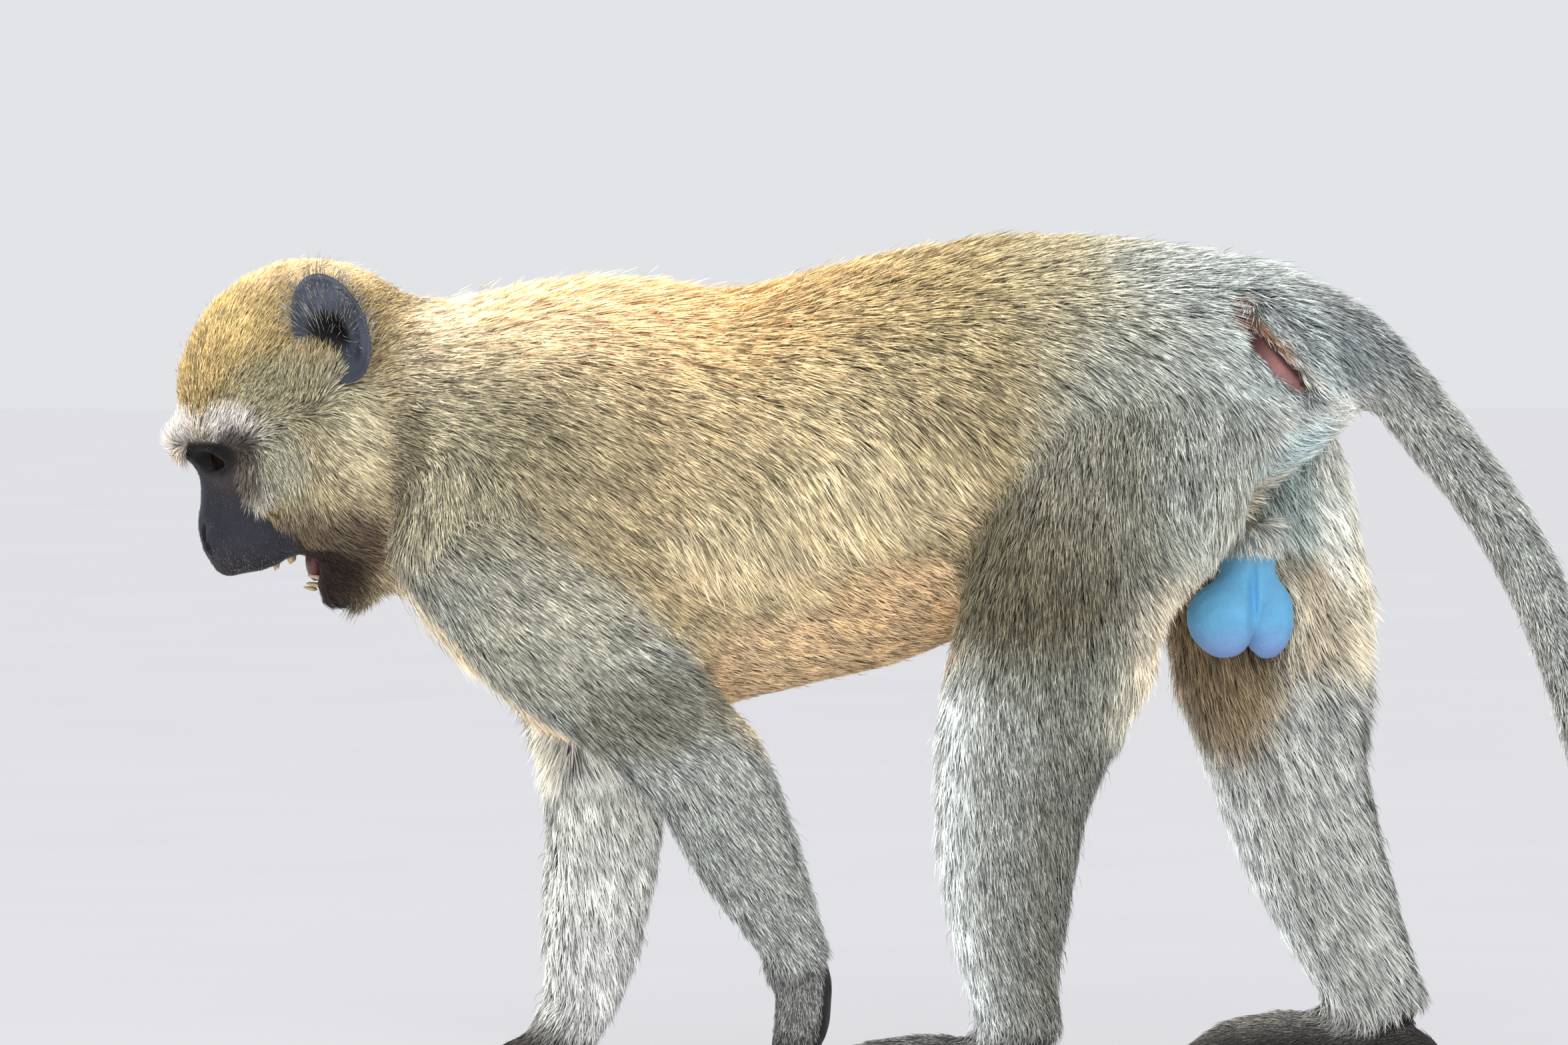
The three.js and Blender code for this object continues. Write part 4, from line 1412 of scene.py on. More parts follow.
THIN_HAIR = (
    Growth((-6, 24, 176), (52, 62, 42), 8, 2.2, (0.8, 0, -0.4)),  # bare-looking belly
    Growth((46, 24, 200), (50, 62, 46), 8, 2.2, (0.8, 0, -0.4)),
)
GROWTHS = (
    Growth((-236, 8, 268), (16, 18, 9), 8, 5.5, (-0.6, 0.15, 0.75)),  # brow, at the middle
    Growth((-224, 27, 272), (16, 14, 9), 9, 5, (0.25, 0.6, 0.7)),  # brow, at the side
    Growth((-234, 12, 262.5), (22, 24, 5), 8, 4.5, (-0.75, 0.3, -0.6)),  # its drooping lower edge
    Growth((-213, 28, 254), (10, 13, 16), 11, 6, (-0.1, 0.4, -0.9)),  # cheek whiskers
    Growth((-192, 40, 252), (26, 22, 34), 12, 5, (0.4, 0.2, -0.9)),  # cheek
    Growth((-180, 40, 314), (26, 24, 26), 4, 1, (0.3, 0.2, 0.9)),  # under the ear
    Growth((-191, 40, 291), (17, 22, 15), 11, 8.5, (0.25, 0.3, 1)),  # in front of the ear
    Growth((-176, 42, 268), (15, 20, 34), 17, 9, (0.8, 0.35, -0.45)),  # ruff
    Growth((-174, 34, 232), (14, 26, 26), 17, 9, (0.8, 0.3, -0.5)),
    Growth((-190, 22, 214), (20, 22, 18), 5, 2, (0.8, 0.1, -0.5)),  # jaw
    Growth((-150, 20, 196), (34, 40, 40), 22, 9, (0.55, 0, -0.85)),  # breast
    Growth((-96, 20, 150), (40, 40, 26), 24, 10, (0.7, 0, -0.75)),
    *THIN_HAIR,
    Growth((-24, 52, 234), (36, 26, 18), 25, 10, (0.5, 0, -0.85)),  # fringe of the flank
    Growth((14, 54, 251), (36, 26, 18), 26, 11, (0.55, 0, -0.8)),
    Growth((50, 54, 269), (36, 26, 18), 24, 10, (0.6, 0, -0.75)),
    Growth((236, 50, 190), (26, 40, 50), 22, 10, (0.8, 0, -0.62), one_side=True),
    Growth((152, -50, 206), (26, 40, 50), 15, 5, (0.6, 0, -0.8), one_side=True),
    Growth((-104, 50, 150), (26, 30, 34), 20, 8, (-0.5, 0, -0.86), one_side=True),
    Growth((192, 36, 308), (19, 24, 20), 6, 1.4, (0.66, 0, -0.75)),  # round the fold by the tail
    Growth((184, 36, 321), (9, 20, 7), 9, 4, (-0.4, 0, -0.9)),  # tuft at its upper end
)


class Cover(Enum):
    """The kinds of hair, by where each grows."""

    COAT = "the furred parts"
    FUZZ = "the bare face"
    EARS = "the outer ears"


@dataclass(frozen=True)
class CoatPiece:
    """One piece of the coat.

    Attributes:
        name: The piece's name.
        parts: The parts of the body that it covers.
        side: The side it lies on, or None for both.
        locks: How many locks it has.
        spine: What its bake map is unwrapped round.
        cover: Which kind of hair it is.
        fine: Width of its locks, 1 for the body's.
    """

    name: str
    parts: tuple[str, ...]
    side: Side | None
    locks: int
    spine: Spine
    cover: Cover = Cover.COAT
    fine: float = 1.0


HEAD_LINE = Spine(((-262, 0, 240), (-196, 0, 276), (-140, 0, 282)))
TRUNK_LINE = Spine(((-180, 0, 276), (-40, 0, 242), (110, 0, 276), (236, 0, 300)))
ARM_PARTS = ("upper_arm", "forearm", "hand")
LEG_PARTS = ("thigh", "shank", "foot")
COAT_PIECES = (
    CoatPiece("coat_head", ("head", "jaw"), None, 65500, HEAD_LINE, fine=0.8),
    CoatPiece("fuzz_face", ("head", "jaw"), None, 14500, HEAD_LINE, Cover.FUZZ, 0.36),
    CoatPiece("coat_ears", ("ear",), None, 1500, HEAD_LINE, Cover.EARS, 0.5),
    CoatPiece("coat_neck", ("neck",), None, 33000, TRUNK_LINE),
    CoatPiece("coat_chest", ("chest",), None, 58000, TRUNK_LINE),
    CoatPiece("coat_belly", ("belly",), None, 62000, TRUNK_LINE),
    CoatPiece("coat_rump", ("rump", "scrotum"), None, 44500, TRUNK_LINE),
    CoatPiece("coat_arm_left", ARM_PARTS, Side.LEFT, 44500, LEFT_ARM),
    CoatPiece("coat_arm_right", ARM_PARTS, Side.RIGHT, 34500, RIGHT_ARM),
    CoatPiece("coat_leg_left", LEG_PARTS, Side.LEFT, 58000, LEFT_LEG),
    CoatPiece("coat_leg_right", LEG_PARTS, Side.RIGHT, 48000, RIGHT_LEG),
    CoatPiece("coat_tail", ("tail",), None, 31000, TAIL),
)


LOCK_FACES = np.array([[0, 1, 3], [0, 3, 2], [2, 3, 4]])
LOCK_WAY_UP = (0, 0, 0.5, 0.5, 1)
LOCK_PATCH = ((-0.5, -0.5), (0.5, -0.5), (-0.4, 0.0), (0.4, 0.0), (0.0, 0.5))


@dataclass(frozen=True)
class Roots:
    """Where the locks of one piece are rooted in the skin.

    Attributes:
        corners: The three corners round each root.
        shares: How near the root is to each of them.
    """

    corners: Array
    shares: Array

    def read(self, values: Array) -> Array:
        """Reads values of the skin's corners at the roots."""
        return np.einsum("ij,ij...->i...", self.shares, values[self.corners])


@dataclass
class Coat:
    """The coat of fine flat locks, rooted all over the furred skin and lying with its grain.

    Attributes:
        markings: The colours and the bare places.
        plan: The body plan.
        slim: Width of a lock at its root, for a lock of no length.
        widening: Width added for each millimetre of length.
        clump: How many locks gather in a clump.
        gather: How far the tips of a clump draw together.
        patchy: How much clumps differ in lightness.
        strays: Share of the locks that stand up from the rest.
        stray_lift: How much higher their tips stand.
        steepest: The greatest height of a tip, as a share of its lock's length.
        wander: How far locks leave the grain.
        twist: How far their flat side leans over.
        arch: How far a lock's middle bows out, as a share of its height.
        sunk: How deep the roots lie in the skin.
        ear_length: Length of the ears' locks.
        ear_height: How far their tips stand off the skin.
        fuzz_light: How much lighter the fuzz is than the skin below it.
    """

    markings: Markings
    plan: BodyPlan
    slim: float = 0.3
    widening: float = 0.017
    clump: int = 20
    gather: float = 0.62
    patchy: float = 0.5
    strays: float = 0.03
    stray_lift: float = 1.6
    steepest: float = 0.85
    wander: float = 0.16
    twist: float = 0.55
    arch: float = 0.26
    sunk: float = 0.4
    ear_length: float = 9.0
    ear_height: float = 2.4
    fuzz_light: float = 1.5

    def __post_init__(self) -> None:
        """Works out length, height, thickness and lie of the hair at the skin's corners."""
        skin = self.markings.skin
        points, shares = skin.surface.points, skin.shares
        ear = shares["ear"]
        self.length = sum(shares[name] * pelt.length for name, pelt in PELTS.items()) + ear * self.ear_length
        self.height = sum(shares[name] * pelt.depth for name, pelt in PELTS.items()) + ear * self.ear_height
        thick = sum(shares[name] * pelt.thick for name, pelt in PELTS.items())
        self.flow = self.lie(points)
        for growth in GROWTHS:
            for flip in growth.sides():
                share = growth.share(points, flip) * (1.0 - ear)
                self.length += (growth.length - self.length) * share
                self.height += (growth.height - self.height) * share
                self.flow = self.flow + (unit(np.array(growth.flow) * flip) - self.flow) * share[:, None]
        edge = 1.0 - self.markings.bare
        hair = np.where(ear > 0.5, 1.0, ramp(edge, 0.2, 1.0))
        digit = np.maximum.reduce([digits.share(points) for digits in DIGIT_ROWS.values()])
        hair *= 1.0 - 0.7 * digit
        thick *= 1.0 - 0.45 * digit
        self.length = DOWN + (self.length - DOWN) * hair
        self.height = DOWN_HEIGHT + (self.height - DOWN_HEIGHT) * hair
        self.thick = {
            Cover.COAT: thick * ramp(edge, 0.1, 0.7) * (1.0 - ear),
            Cover.FUZZ: self.markings.bare * (1.0 - self.markings.wet) * (1.0 - ear),
            Cover.EARS: ear * ramp(points[:, 2], 300, 318),
        }

    def lie(self, points: Array) -> Array:
        """Works out the way that the hair lies.

        Args:
            points: The skin's corners.

        Returns:
            A direction at each corner.
        """
        shares = self.markings.shares
        flow = sum(shares[name][:, None] * unit(np.array(pelt.flow)) for name, pelt in PELTS.items())
        x, y, z = points.T
        up = self.markings.normals[:, 2]
        level = np.clip(np.abs(up), 0, 1) * np.clip(self.markings.trunk, 0, 1)
        flow[:, 2] *= 1.0 - level
        left = y < 0
        for names, spines in ((ARM_PARTS, (LEFT_ARM, RIGHT_ARM)), (LEG_PARTS, (LEFT_LEG, RIGHT_LEG))):
            share = sum(shares[name] for name in names)
            near = share > 0.01
            for side, spine in zip((left, ~left), spines):
                pick = near & side
                way = spine.nearest(points[pick])[1] + np.array((0.3, 0, 0))
                flow[pick] += (unit(way) - flow[pick]) * (share[pick] * 0.8)[:, None]
        foot = shares["foot"]
        flow += (np.array((-0.95, 0.0, -0.25)) - flow) * foot[:, None]
        pick = shares["tail"] > 0.01
        flow[pick] += (TAIL.nearest(points[pick])[1] - flow[pick]) * shares["tail"][pick][:, None]
        head = shares["head"]
        away = unit(points - np.array((-232, 0, 256)))
        away[:, 2] -= 0.55 * ramp(z, 282, 258)
        flow += (unit(away) - flow) * np.clip(head, 0, 1)[:, None]
        concha = np.stack([np.full_like(x, -184.0), np.sign(y) * 36.0, np.full_like(x, 306.0)], axis=1)
        ears = shares["ear"] > 0.5
        flow[ears] = unit(points[ears] - concha[ears])
        return flow

    def build(self, piece: CoatPiece, seed: int) -> bpy.types.Object:
        """Grows one piece of the coat.

        Args:
            piece: Which piece.
            seed: Where its random draws start.

        Returns:
            The piece's mesh.
        """
        rng = np.random.default_rng(seed)
        roots = self.rooted(piece, rng)
        points, clump_tone = self.shaped(piece, roots, rng)
        number = np.arange(piece.locks)[:, None, None] * points.shape[1]
        triangles = (number + LOCK_FACES).reshape(-1, 3)
        made = mesh_object(piece.name, self.plan.to_frame(points.reshape(-1, 3)), triangles)
        self.paint(made, piece, roots, clump_tone, rng)
        self.unwrap(made, roots.read(self.markings.points), triangles, piece.spine)
        return made

    def rooted(self, piece: CoatPiece, rng: np.random.Generator) -> Roots:
        """Scatters the roots of a piece over its part of the skin.

        Args:
            piece: Which piece.
            rng: The source of random draws.

        Returns:
            Its roots.
        """
        skin = self.markings.skin
        faces = skin.surface.triangles
        owned = sum(skin.shares[name] for name in piece.parts)
        if piece.side:
            owned = owned * (np.sign(skin.surface.points[:, 1]) == piece.side.value)
        sizes = np.linalg.norm(skin.surface.face_normals(), axis=1)
        weights = sizes * (owned * self.thick[piece.cover])[faces].mean(axis=1)
        chosen = np.sort(rng.choice(len(faces), piece.locks, p=weights / weights.sum()))
        u, v = rng.random((2, piece.locks))
        over = u + v > 1.0
        u[over], v[over] = 1.0 - u[over], 1.0 - v[over]
        return Roots(faces[chosen], np.stack([1.0 - u - v, u, v], axis=1))

    def shaped(self, piece: CoatPiece, roots: Roots, rng: np.random.Generator) -> tuple[Array, Array]:
        """Shapes the locks of a piece.

        Args:
            piece: Which piece.
            roots: Where its locks are rooted.
            rng: The source of random draws.

        Returns:
            Each lock's five corners, and a tone from 0 to 1 that a clump's locks share.
        """
        count = piece.locks
        root, normal = roots.read(self.markings.points), unit(roots.read(self.markings.normals))
        length = roots.read(self.length) * rng.uniform(0.7, 1.25, count)
        height = roots.read(self.height) * rng.uniform(0.35, 1.15, count)
        height = np.where(rng.random(count) < self.strays, height * self.stray_lift, height)
        height = np.minimum(height, length * self.steepest)
        flow = unit(roots.read(self.flow)) + rng.normal(0.0, self.wander, (count, 3))
        flow = unit(flow - (flow * normal).sum(axis=1, keepdims=True) * normal)
        run = np.sqrt(length**2 - height**2)
        tip = root + flow * run[:, None] + normal * height[:, None]
        loose = 0.25 if piece.cover is Cover.FUZZ else 1.0
        tip, clump_tone = self.gathered(root, tip, loose * ramp(length, 5, 22), rng)
        bend = root + (tip - root) * 0.5 + normal * (height * self.arch)[:, None]
        across = np.cross(flow, normal) + normal * rng.normal(0.0, self.twist, count)[:, None]
        width = piece.fine * (self.slim + self.widening * length) * rng.uniform(0.75, 1.25, count)
        across = unit(across) * (width / 2)[:, None]
        base = root - normal * self.sunk
        middle = (bend - across * 0.8, bend + across * 0.8)
        points = np.stack([base - across, base + across, *middle, tip], axis=1)
        points[..., 2] = np.maximum(points[..., 2], FLOOR_GAP)
        return points, clump_tone

    def paint(
        self,
        made: bpy.types.Object,
        piece: CoatPiece,
        roots: Roots,
        clump_tone: Array,
        rng: np.random.Generator,
    ) -> None:
        """Stores the colours of a piece's locks for its finish.

        Args:
            made: The piece's mesh.
            piece: Which piece.
            roots: Where its locks are rooted.
            clump_tone: The tone that a clump's locks share.
            rng: The source of random draws.
        """
        each = len(LOCK_WAY_UP)
        fuzz = piece.cover is Cover.FUZZ
        tone = rng.random(piece.locks)
        shade = rng.uniform(0.85, 1.15, piece.locks) * (1.0 + self.patchy * (clump_tone - 0.5))
        colour = linear(roots.read(self.markings.hide * self.fuzz_light if fuzz else self.markings.coat))
        colour = colour * shade[:, None]
        if fuzz:
            heights = roots.read(self.markings.points)[:, 2]
            pale = rng.random(piece.locks) < 0.02 + 0.4 * ramp(heights, 230, 216)
            colour[pale] = linear(STUBBLE) * shade[pale, None]
        paint_values(made, "coat_colour", np.repeat(colour, each, axis=0))
        paint_values(made, "tone", np.repeat(tone, each))
        paint_values(made, "ticked", np.repeat(roots.read(self.markings.ticked), each))
        paint_values(made, "way_up", np.tile(LOCK_WAY_UP, piece.locks))

    def gathered(
        self, root: Array, tip: Array, loose: Array, rng: np.random.Generator
    ) -> tuple[Array, Array]:
        """Draws the tips of neighbouring locks together.

        Args:
            root: The roots.
            tip: The tips.
            loose: Share of the usual gathering for each lock.
            rng: The source of random draws.

        Returns:
            The moved tips, and a tone from 0 to 1 that a clump's locks share.
        """
        leaders = rng.choice(len(root), max(len(root) // self.clump, 1), replace=False)
        tree = KDTree(len(leaders))
        for number, place in enumerate(root[leaders].tolist()):
            tree.insert(place, number)
        tree.balance()
        clump = np.array([tree.find(place)[1] for place in root.tolist()])
        shift = tip[leaders[clump]] - tip
        gather = self.gather * loose * rng.uniform(0.4, 1.0, len(root))
        return tip + shift * gather[:, None], rng.random(len(leaders))[clump]

    @staticmethod
    def unwrap(made: bpy.types.Object, root: Array, triangles: Array, spine: Spine) -> None:
        """Gives each lock its small patch on the unwrapped skin.

        Args:
            made: The coat piece.
            root: The roots of its locks.
            triangles: Its faces.
            spine: What the skin is unwrapped round.
        """
        share, way, place = spine.nearest(root)
        out = root - place
        aside = unit(np.cross(way, (0, 1, 0)))
        other = np.cross(way, aside)
        turn = np.arctan2((out * other).sum(axis=1), (out * aside).sum(axis=1)) / (2.0 * math.pi) + 0.5
        low, high = np.percentile(share, (0.5, 99.5))
        rise = np.clip((share - low) / (high - low), 0, 1)
        middle = np.stack([turn, rise], axis=1) * (1.0 - 2 * BAKE_PATCH) + BAKE_PATCH
        spots = (middle[:, None, :] + np.array(LOCK_PATCH) * BAKE_PATCH).reshape(-1, 2)
        layer = made.data.uv_layers.new(name="OFBake")
        layer.data.foreach_set("uv", spots[triangles.ravel()].astype(np.float32).ravel())


# ---- finishes
class Value:
    """A number that runs through a material's nodes, for writing shader maths as expressions."""

    def __init__(self, nodes: Nodes, socket: bpy.types.NodeSocket) -> None:
        """Wraps a socket of one material."""
        self.nodes = nodes
        self.socket = socket

    def math(self, operation: str, *others: Value | float, first: Value | float | None = None) -> Value:
        """Adds a Math node that works on this number, or on first instead of it, and then the others."""
        numbers = [self if first is None else first, *others]
        return self.nodes.add("ShaderNodeMath", {"operation": operation}, dict(enumerate(numbers)))

    def __add__(self, other: Value | float) -> Value:
        """This plus another."""
        return self.math("ADD", other)

    def __sub__(self, other: Value | float) -> Value:
        """This less another."""
        return self.math("SUBTRACT", other)

    def __rsub__(self, other: float) -> Value:
        """Another less this."""
        return self.math("SUBTRACT", self, first=other)

    def __mul__(self, other: Value | float) -> Value:
        """This times another."""
        return self.math("MULTIPLY", other)

    __radd__ = __add__
    __rmul__ = __mul__

    def step(self, low: float, high: float) -> Value:
        """Adds a smooth step.

        Args:
            low: Where the result is 0.
            high: Where it is 1, which may lie below low.

        Returns:
            Its result.
        """
        settings = {"interpolation_type": "SMOOTHSTEP"}
        flipped = low > high
        links = {"Value": self, "From Min": min(low, high), "From Max": max(low, high)}
        links |= {"To Min": 1.0, "To Max": 0.0} if flipped else {}
        return self.nodes.add("ShaderNodeMapRange", settings, links)


class Nodes:
    """The nodes of one material, added one by one."""

    def __init__(self, name: str, **constants: float) -> None:
        """Starts a material with one Principled shader.

        Args:
            name: The material's name.
            constants: The shader's own constant settings, by socket name with _ for a space.
        """
        self.material = bpy.data.materials.new(name)
        self.material.use_nodes = True
        self.tree = self.material.node_tree
        self.tree.nodes.clear()
        output = self.tree.nodes.new("ShaderNodeOutputMaterial")
        self.shader = self.tree.nodes.new("ShaderNodeBsdfPrincipled")
        self.tree.links.new(self.shader.outputs[0], output.inputs[0])
        for socket, value in constants.items():
            wanted = socket.replace("_", " ").lower()
            found = next(entry for entry in self.shader.inputs if entry.name.lower() == wanted)
            found.default_value = value

    def add(
        self, kind: str, settings: dict[str, Any], links: dict[Any, Any], out: str | int = 0
    ) -> Value:
        """Adds a node.

        Args:
            kind: The node's type.
            settings: Its settings, which are set first.
            links: The numbers, colours or results that its sockets take.
            out: The output that is wanted.

        Returns:
            That output.
        """
        node = self.tree.nodes.new(kind)
        for key, value in settings.items():
            setattr(node, key, value)
        for key, value in links.items():
            socket = node.inputs[key]
            if isinstance(value, Value):
                self.tree.links.new(value.socket, socket)
            else:
                socket.default_value = value
        return Value(self, node.outputs[out])

    def attribute(self, name: str, colour: bool = False) -> Value:
        """Reads a stored number or colour."""
        return self.add("ShaderNodeAttribute", {"attribute_name": name}, {}, "Color" if colour else "Fac")

    def place(self, stretch: Triple = (1, 1, 1)) -> Value:
        """Gives the place on the piece, in metres, stretched along its axes."""
        coordinates = self.add("ShaderNodeTexCoord", {}, {}, "Object")
        return self.add("ShaderNodeVectorMath", {"operation": "MULTIPLY"}, {0: coordinates, 1: stretch})

    def noise(self, per_metre: float, detail: float = 3.0, place: Value | None = None) -> Value:
        """A noise from 0 to 1 of so many cells in a metre."""
        links = {"Vector": place or self.place(), "Scale": per_metre, "Detail": detail}
        return self.add("ShaderNodeTexNoise", {}, links)

    def cells(self, per_metre: float) -> Value:
        """The distance to the nearest of scattered points, so many in a metre."""
        return self.add("ShaderNodeTexVoronoi", {}, {"Vector": self.place(), "Scale": per_metre})

    def mix(self, share: Value, below: Value | Triple, above: Value | Triple) -> Value:
        """Mixes two colours."""
        first, second = (colour if isinstance(colour, Value) else (*colour, 1.0) for colour in (below, above))
        return self.add("ShaderNodeMix", {"data_type": "RGBA"}, {0: share, 6: first, 7: second}, 2)

    def scaled(self, colour: Value, factor: Value) -> Value:
        """Multiplies a colour by a number."""
        wide = self.add("ShaderNodeCombineXYZ", {}, {0: factor, 1: factor, 2: factor})
        return self.add("ShaderNodeVectorMath", {"operation": "MULTIPLY"}, {0: colour, 1: wide})

    def wear(self, **inputs: Value) -> None:
        """Feeds the shader's varying sockets, by name with _ for a space."""
        for socket, value in inputs.items():
            self.tree.links.new(value.socket, self.shader.inputs[socket.replace("_", " ").title()])

    def bump(self, height: Value, deep: float, strength: float = 1.0) -> None:
        """Feeds the Normal socket from a height."""
        links = {"Height": height, "Distance": deep, "Strength": strength}
        self.wear(normal=self.add("ShaderNodeBump", {}, links))


@dataclass(frozen=True)
class Finish:
    """What a piece is dressed in.

    Attributes:
        name: The material's name.
    """

    name: str

    def material(self) -> bpy.types.Material:
        """Makes the material."""
        raise NotImplementedError

    def dress(self, *pieces: bpy.types.Object) -> None:
        """Lays the finish on pieces.

        Args:
            pieces: The pieces.
        """
        material = self.material()
        for piece in pieces:
            piece.data.materials.append(material)


@dataclass(frozen=True)
class CoatFinish(Finish):
    """Hair banded from a dark root to a pale tip, with some dark-tipped locks.

    Attributes:
        dark_share: Share of the locks that end dark.
        root: How dark the roots are, partly the hairs' own dark base and partly painted shade among the
            locks.
        tip: How pale the tips are.
        rings: Turns of the banding along a lock, in radians.
        ring_depth: How dark the dark bands are.
    """

    dark_share: float = 0.2
    root: float = 0.44
    tip: float = 1.8
    rings: float = 13.0
    ring_depth: float = 0.45

    def material(self) -> bpy.types.Material:
        """Makes the material.

        Returns:
            The material.
        """
        nodes = Nodes(self.name, specular_ior_level=0.25, sheen_weight=0.12, sheen_roughness=0.5)
        way_up, tone = nodes.attribute("way_up"), nodes.attribute("tone")
        patch = nodes.noise(90.0)
        ticked = nodes.attribute("ticked")
        dark = tone.step(self.dark_share + 0.02, self.dark_share - 0.02) * way_up.step(0.1, 0.6)
        # dark at the root, partly the hairs' own base and partly painted shade among the locks
        light = self.root + (self.tip - self.root) * way_up.step(0.0, 0.85)
        ring = (way_up * self.rings + tone * 23.0).math("SINE").step(-0.2, 0.5)
        level = light * (1.0 - 0.66 * dark) * (1.0 - self.ring_depth * ring * ticked) * (0.86 + 0.28 * patch)
        nodes.wear(
            base_color=nodes.scaled(nodes.attribute("coat_colour", colour=True), level),
            roughness=0.5 + 0.2 * patch,
        )
        return nodes.material


@dataclass(frozen=True)
class SkinFinish(Finish):
    """Fine-wrinkled skin, with short flat down where it is furred."""

    def material(self) -> bpy.types.Material:
        """Makes the material.

        Returns:
            The material.
        """
        nodes = Nodes(self.name, specular_ior_level=0.2, subsurface_weight=0.04, subsurface_scale=0.002)
        colour, bare = nodes.attribute("hide_colour", colour=True), nodes.attribute("bare")
        pores = nodes.cells(1400.0)
        wrinkle = nodes.noise(420.0, 5.0)
        down = nodes.noise(700.0, 2.0, nodes.place((1.0, 1.0, 0.25)))
        blotch = nodes.noise(120.0)
        level = 0.78 + 0.3 * blotch + 0.14 * wrinkle
        rough = 0.75 - 0.22 * bare + 0.12 * (pores - 0.5)
        nodes.wear(base_color=nodes.scaled(colour, level), roughness=rough)
        height = bare * (0.5 * wrinkle + 0.5 * pores) + (1.0 - 0.6 * bare) * down
        nodes.bump(height, 0.0005, 0.8)
        return nodes.material


@dataclass(frozen=True)
class EyeFinish(Finish):
    """A wet dark eye: a black pupil, a fibrous brown iris and a dusky white, painted very dark: partly their
    own colour and partly painted shade of the deep socket.

    Attributes:
        pupil: Radius of the pupil, as a share of the ball's.
        iris: Radius of the iris, as a share of the ball's.
    """

    pupil: float = 0.3
    iris: float = 0.72

    def material(self) -> bpy.types.Material:
        """Makes the material.

        Returns:
            The material.
        """
        nodes = Nodes(self.name, coat_weight=0.14, coat_ior=1.18, coat_roughness=0.04, specular_ior_level=0.0)
        away, round_it = nodes.attribute("from_gaze"), nodes.attribute("round_gaze")
        grain = nodes.add("ShaderNodeCombineXYZ", {}, {0: round_it * 26.0, 1: away * 3.0})
        links = {"Vector": grain, "Scale": 1.0, "Detail": 3.0}
        fibres = nodes.add("ShaderNodeTexNoise", {"noise_dimensions": "2D"}, links)
        # the iris and the white are painted near black: partly their own dark colour and partly painted shade
        # of the deep socket under the brow
        iris = nodes.mix(fibres.step(0.3, 0.75), (0.006, 0.003, 0.002), (0.022, 0.010, 0.005))
        iris = nodes.mix(away.step(self.iris - 0.16, self.iris), iris, (0.012, 0.006, 0.004))
        white = nodes.mix(nodes.noise(600.0).step(0.35, 0.7), (0.006, 0.004, 0.003), (0.012, 0.008, 0.006))
        colour = nodes.mix(away.step(self.iris, self.iris + 0.07), iris, white)
        colour = nodes.mix(away.step(self.pupil + 0.04, self.pupil), colour, (0.002, 0.002, 0.002))
        nodes.wear(base_color=colour, roughness=0.12 + 0.1 * fibres)
        return nodes.material


@dataclass(frozen=True)
class HardFinish(Finish):
    """Enamel or nail, streaked along its growth.

    Attributes:
        pale: Its lighter colour, linear.
        stain: The colour of its streaks and its root, linear.
        rough: How rough it is.
        streaks: Streaks in a metre.
    """

    pale: Triple
    stain: Triple
    rough: float
    streaks: float = 900.0

    def material(self) -> bpy.types.Material:
        """Makes the material.

        Returns:
            The material.
        """
        nodes = Nodes(self.name, specular_ior_level=0.5, coat_weight=0.2, coat_roughness=0.25)
        grown = nodes.attribute("way_up")
        streak = nodes.noise(self.streaks, 4.0)
        share = streak.step(0.3, 0.75) * 0.6 + grown.step(0.6, 0.0) * 0.4
        nodes.wear(base_color=nodes.mix(share, self.pale, self.stain), roughness=self.rough + 0.15 * streak)
        nodes.bump(streak, 0.00012, 0.6)
        return nodes.material


@dataclass(frozen=True)
class TongueFinish(Finish):
    """Wet tongue with fine papillae."""

    def material(self) -> bpy.types.Material:
        """Makes the material.

        Returns:
            The material.
        """
        nodes = Nodes(
            self.name, specular_ior_level=0.5, coat_weight=0.5, coat_roughness=0.2, subsurface_weight=0.1
        )
        buds, blotch = nodes.cells(2400.0), nodes.noise(260.0)
        nodes.wear(
            base_color=nodes.mix(blotch, (0.1, 0.024, 0.021), (0.17, 0.05, 0.042)),
            roughness=0.35 + 0.2 * buds,
        )
        nodes.bump(buds, 0.0003, 0.7)
        return nodes.material


@dataclass(frozen=True)
class FloorFinish(Finish):
    """A plain pale floor with the faintest grain."""

    def material(self) -> bpy.types.Material:
        """Makes the material.

        Returns:
            The material.
        """
        nodes = Nodes(self.name, specular_ior_level=0.2)
        grain = nodes.noise(6.0)
        nodes.wear(
            base_color=nodes.mix(grain, (0.394, 0.403, 0.44), (0.42, 0.429, 0.467)),
            roughness=0.8 + 0.1 * grain,
        )
        return nodes.material


# ---- eyes, teeth, tongue and nails
def ball(around: int, rings: int) -> tuple[Array, Array]:
    """Makes a unit ball whose pole points along +z.

    Args:
        around: Corners on each ring.
        rings: Rings from pole to pole.

    Returns:
        Its corners and triangles.
    """
    leans = np.linspace(0, math.pi, rings + 1)[1:-1]
    lean, turn = np.meshgrid(leans, np.linspace(0, 2 * math.pi, around, endpoint=False), indexing="ij")
    sides = np.stack([np.sin(lean) * np.cos(turn), np.sin(lean) * np.sin(turn), np.cos(lean)], axis=-1)
    points = np.concatenate([[[0.0, 0.0, 1.0]], sides.reshape(-1, 3), [[0.0, 0.0, -1.0]]])
    spot = np.arange(around)
    after = (spot + 1) % around
    faces = [np.stack([np.zeros_like(spot), 1 + spot, 1 + after], 1)]
    for ring in range(rings - 2):
        a, b = 1 + ring * around + spot, 1 + ring * around + after
        faces += [np.stack([a, a + around, b + around], 1), np.stack([a, b + around, b], 1)]
    last = 1 + (rings - 2) * around
    faces.append(np.stack([last + spot, np.full_like(spot, len(points) - 1), last + after], 1))
    return points, np.concatenate(faces)


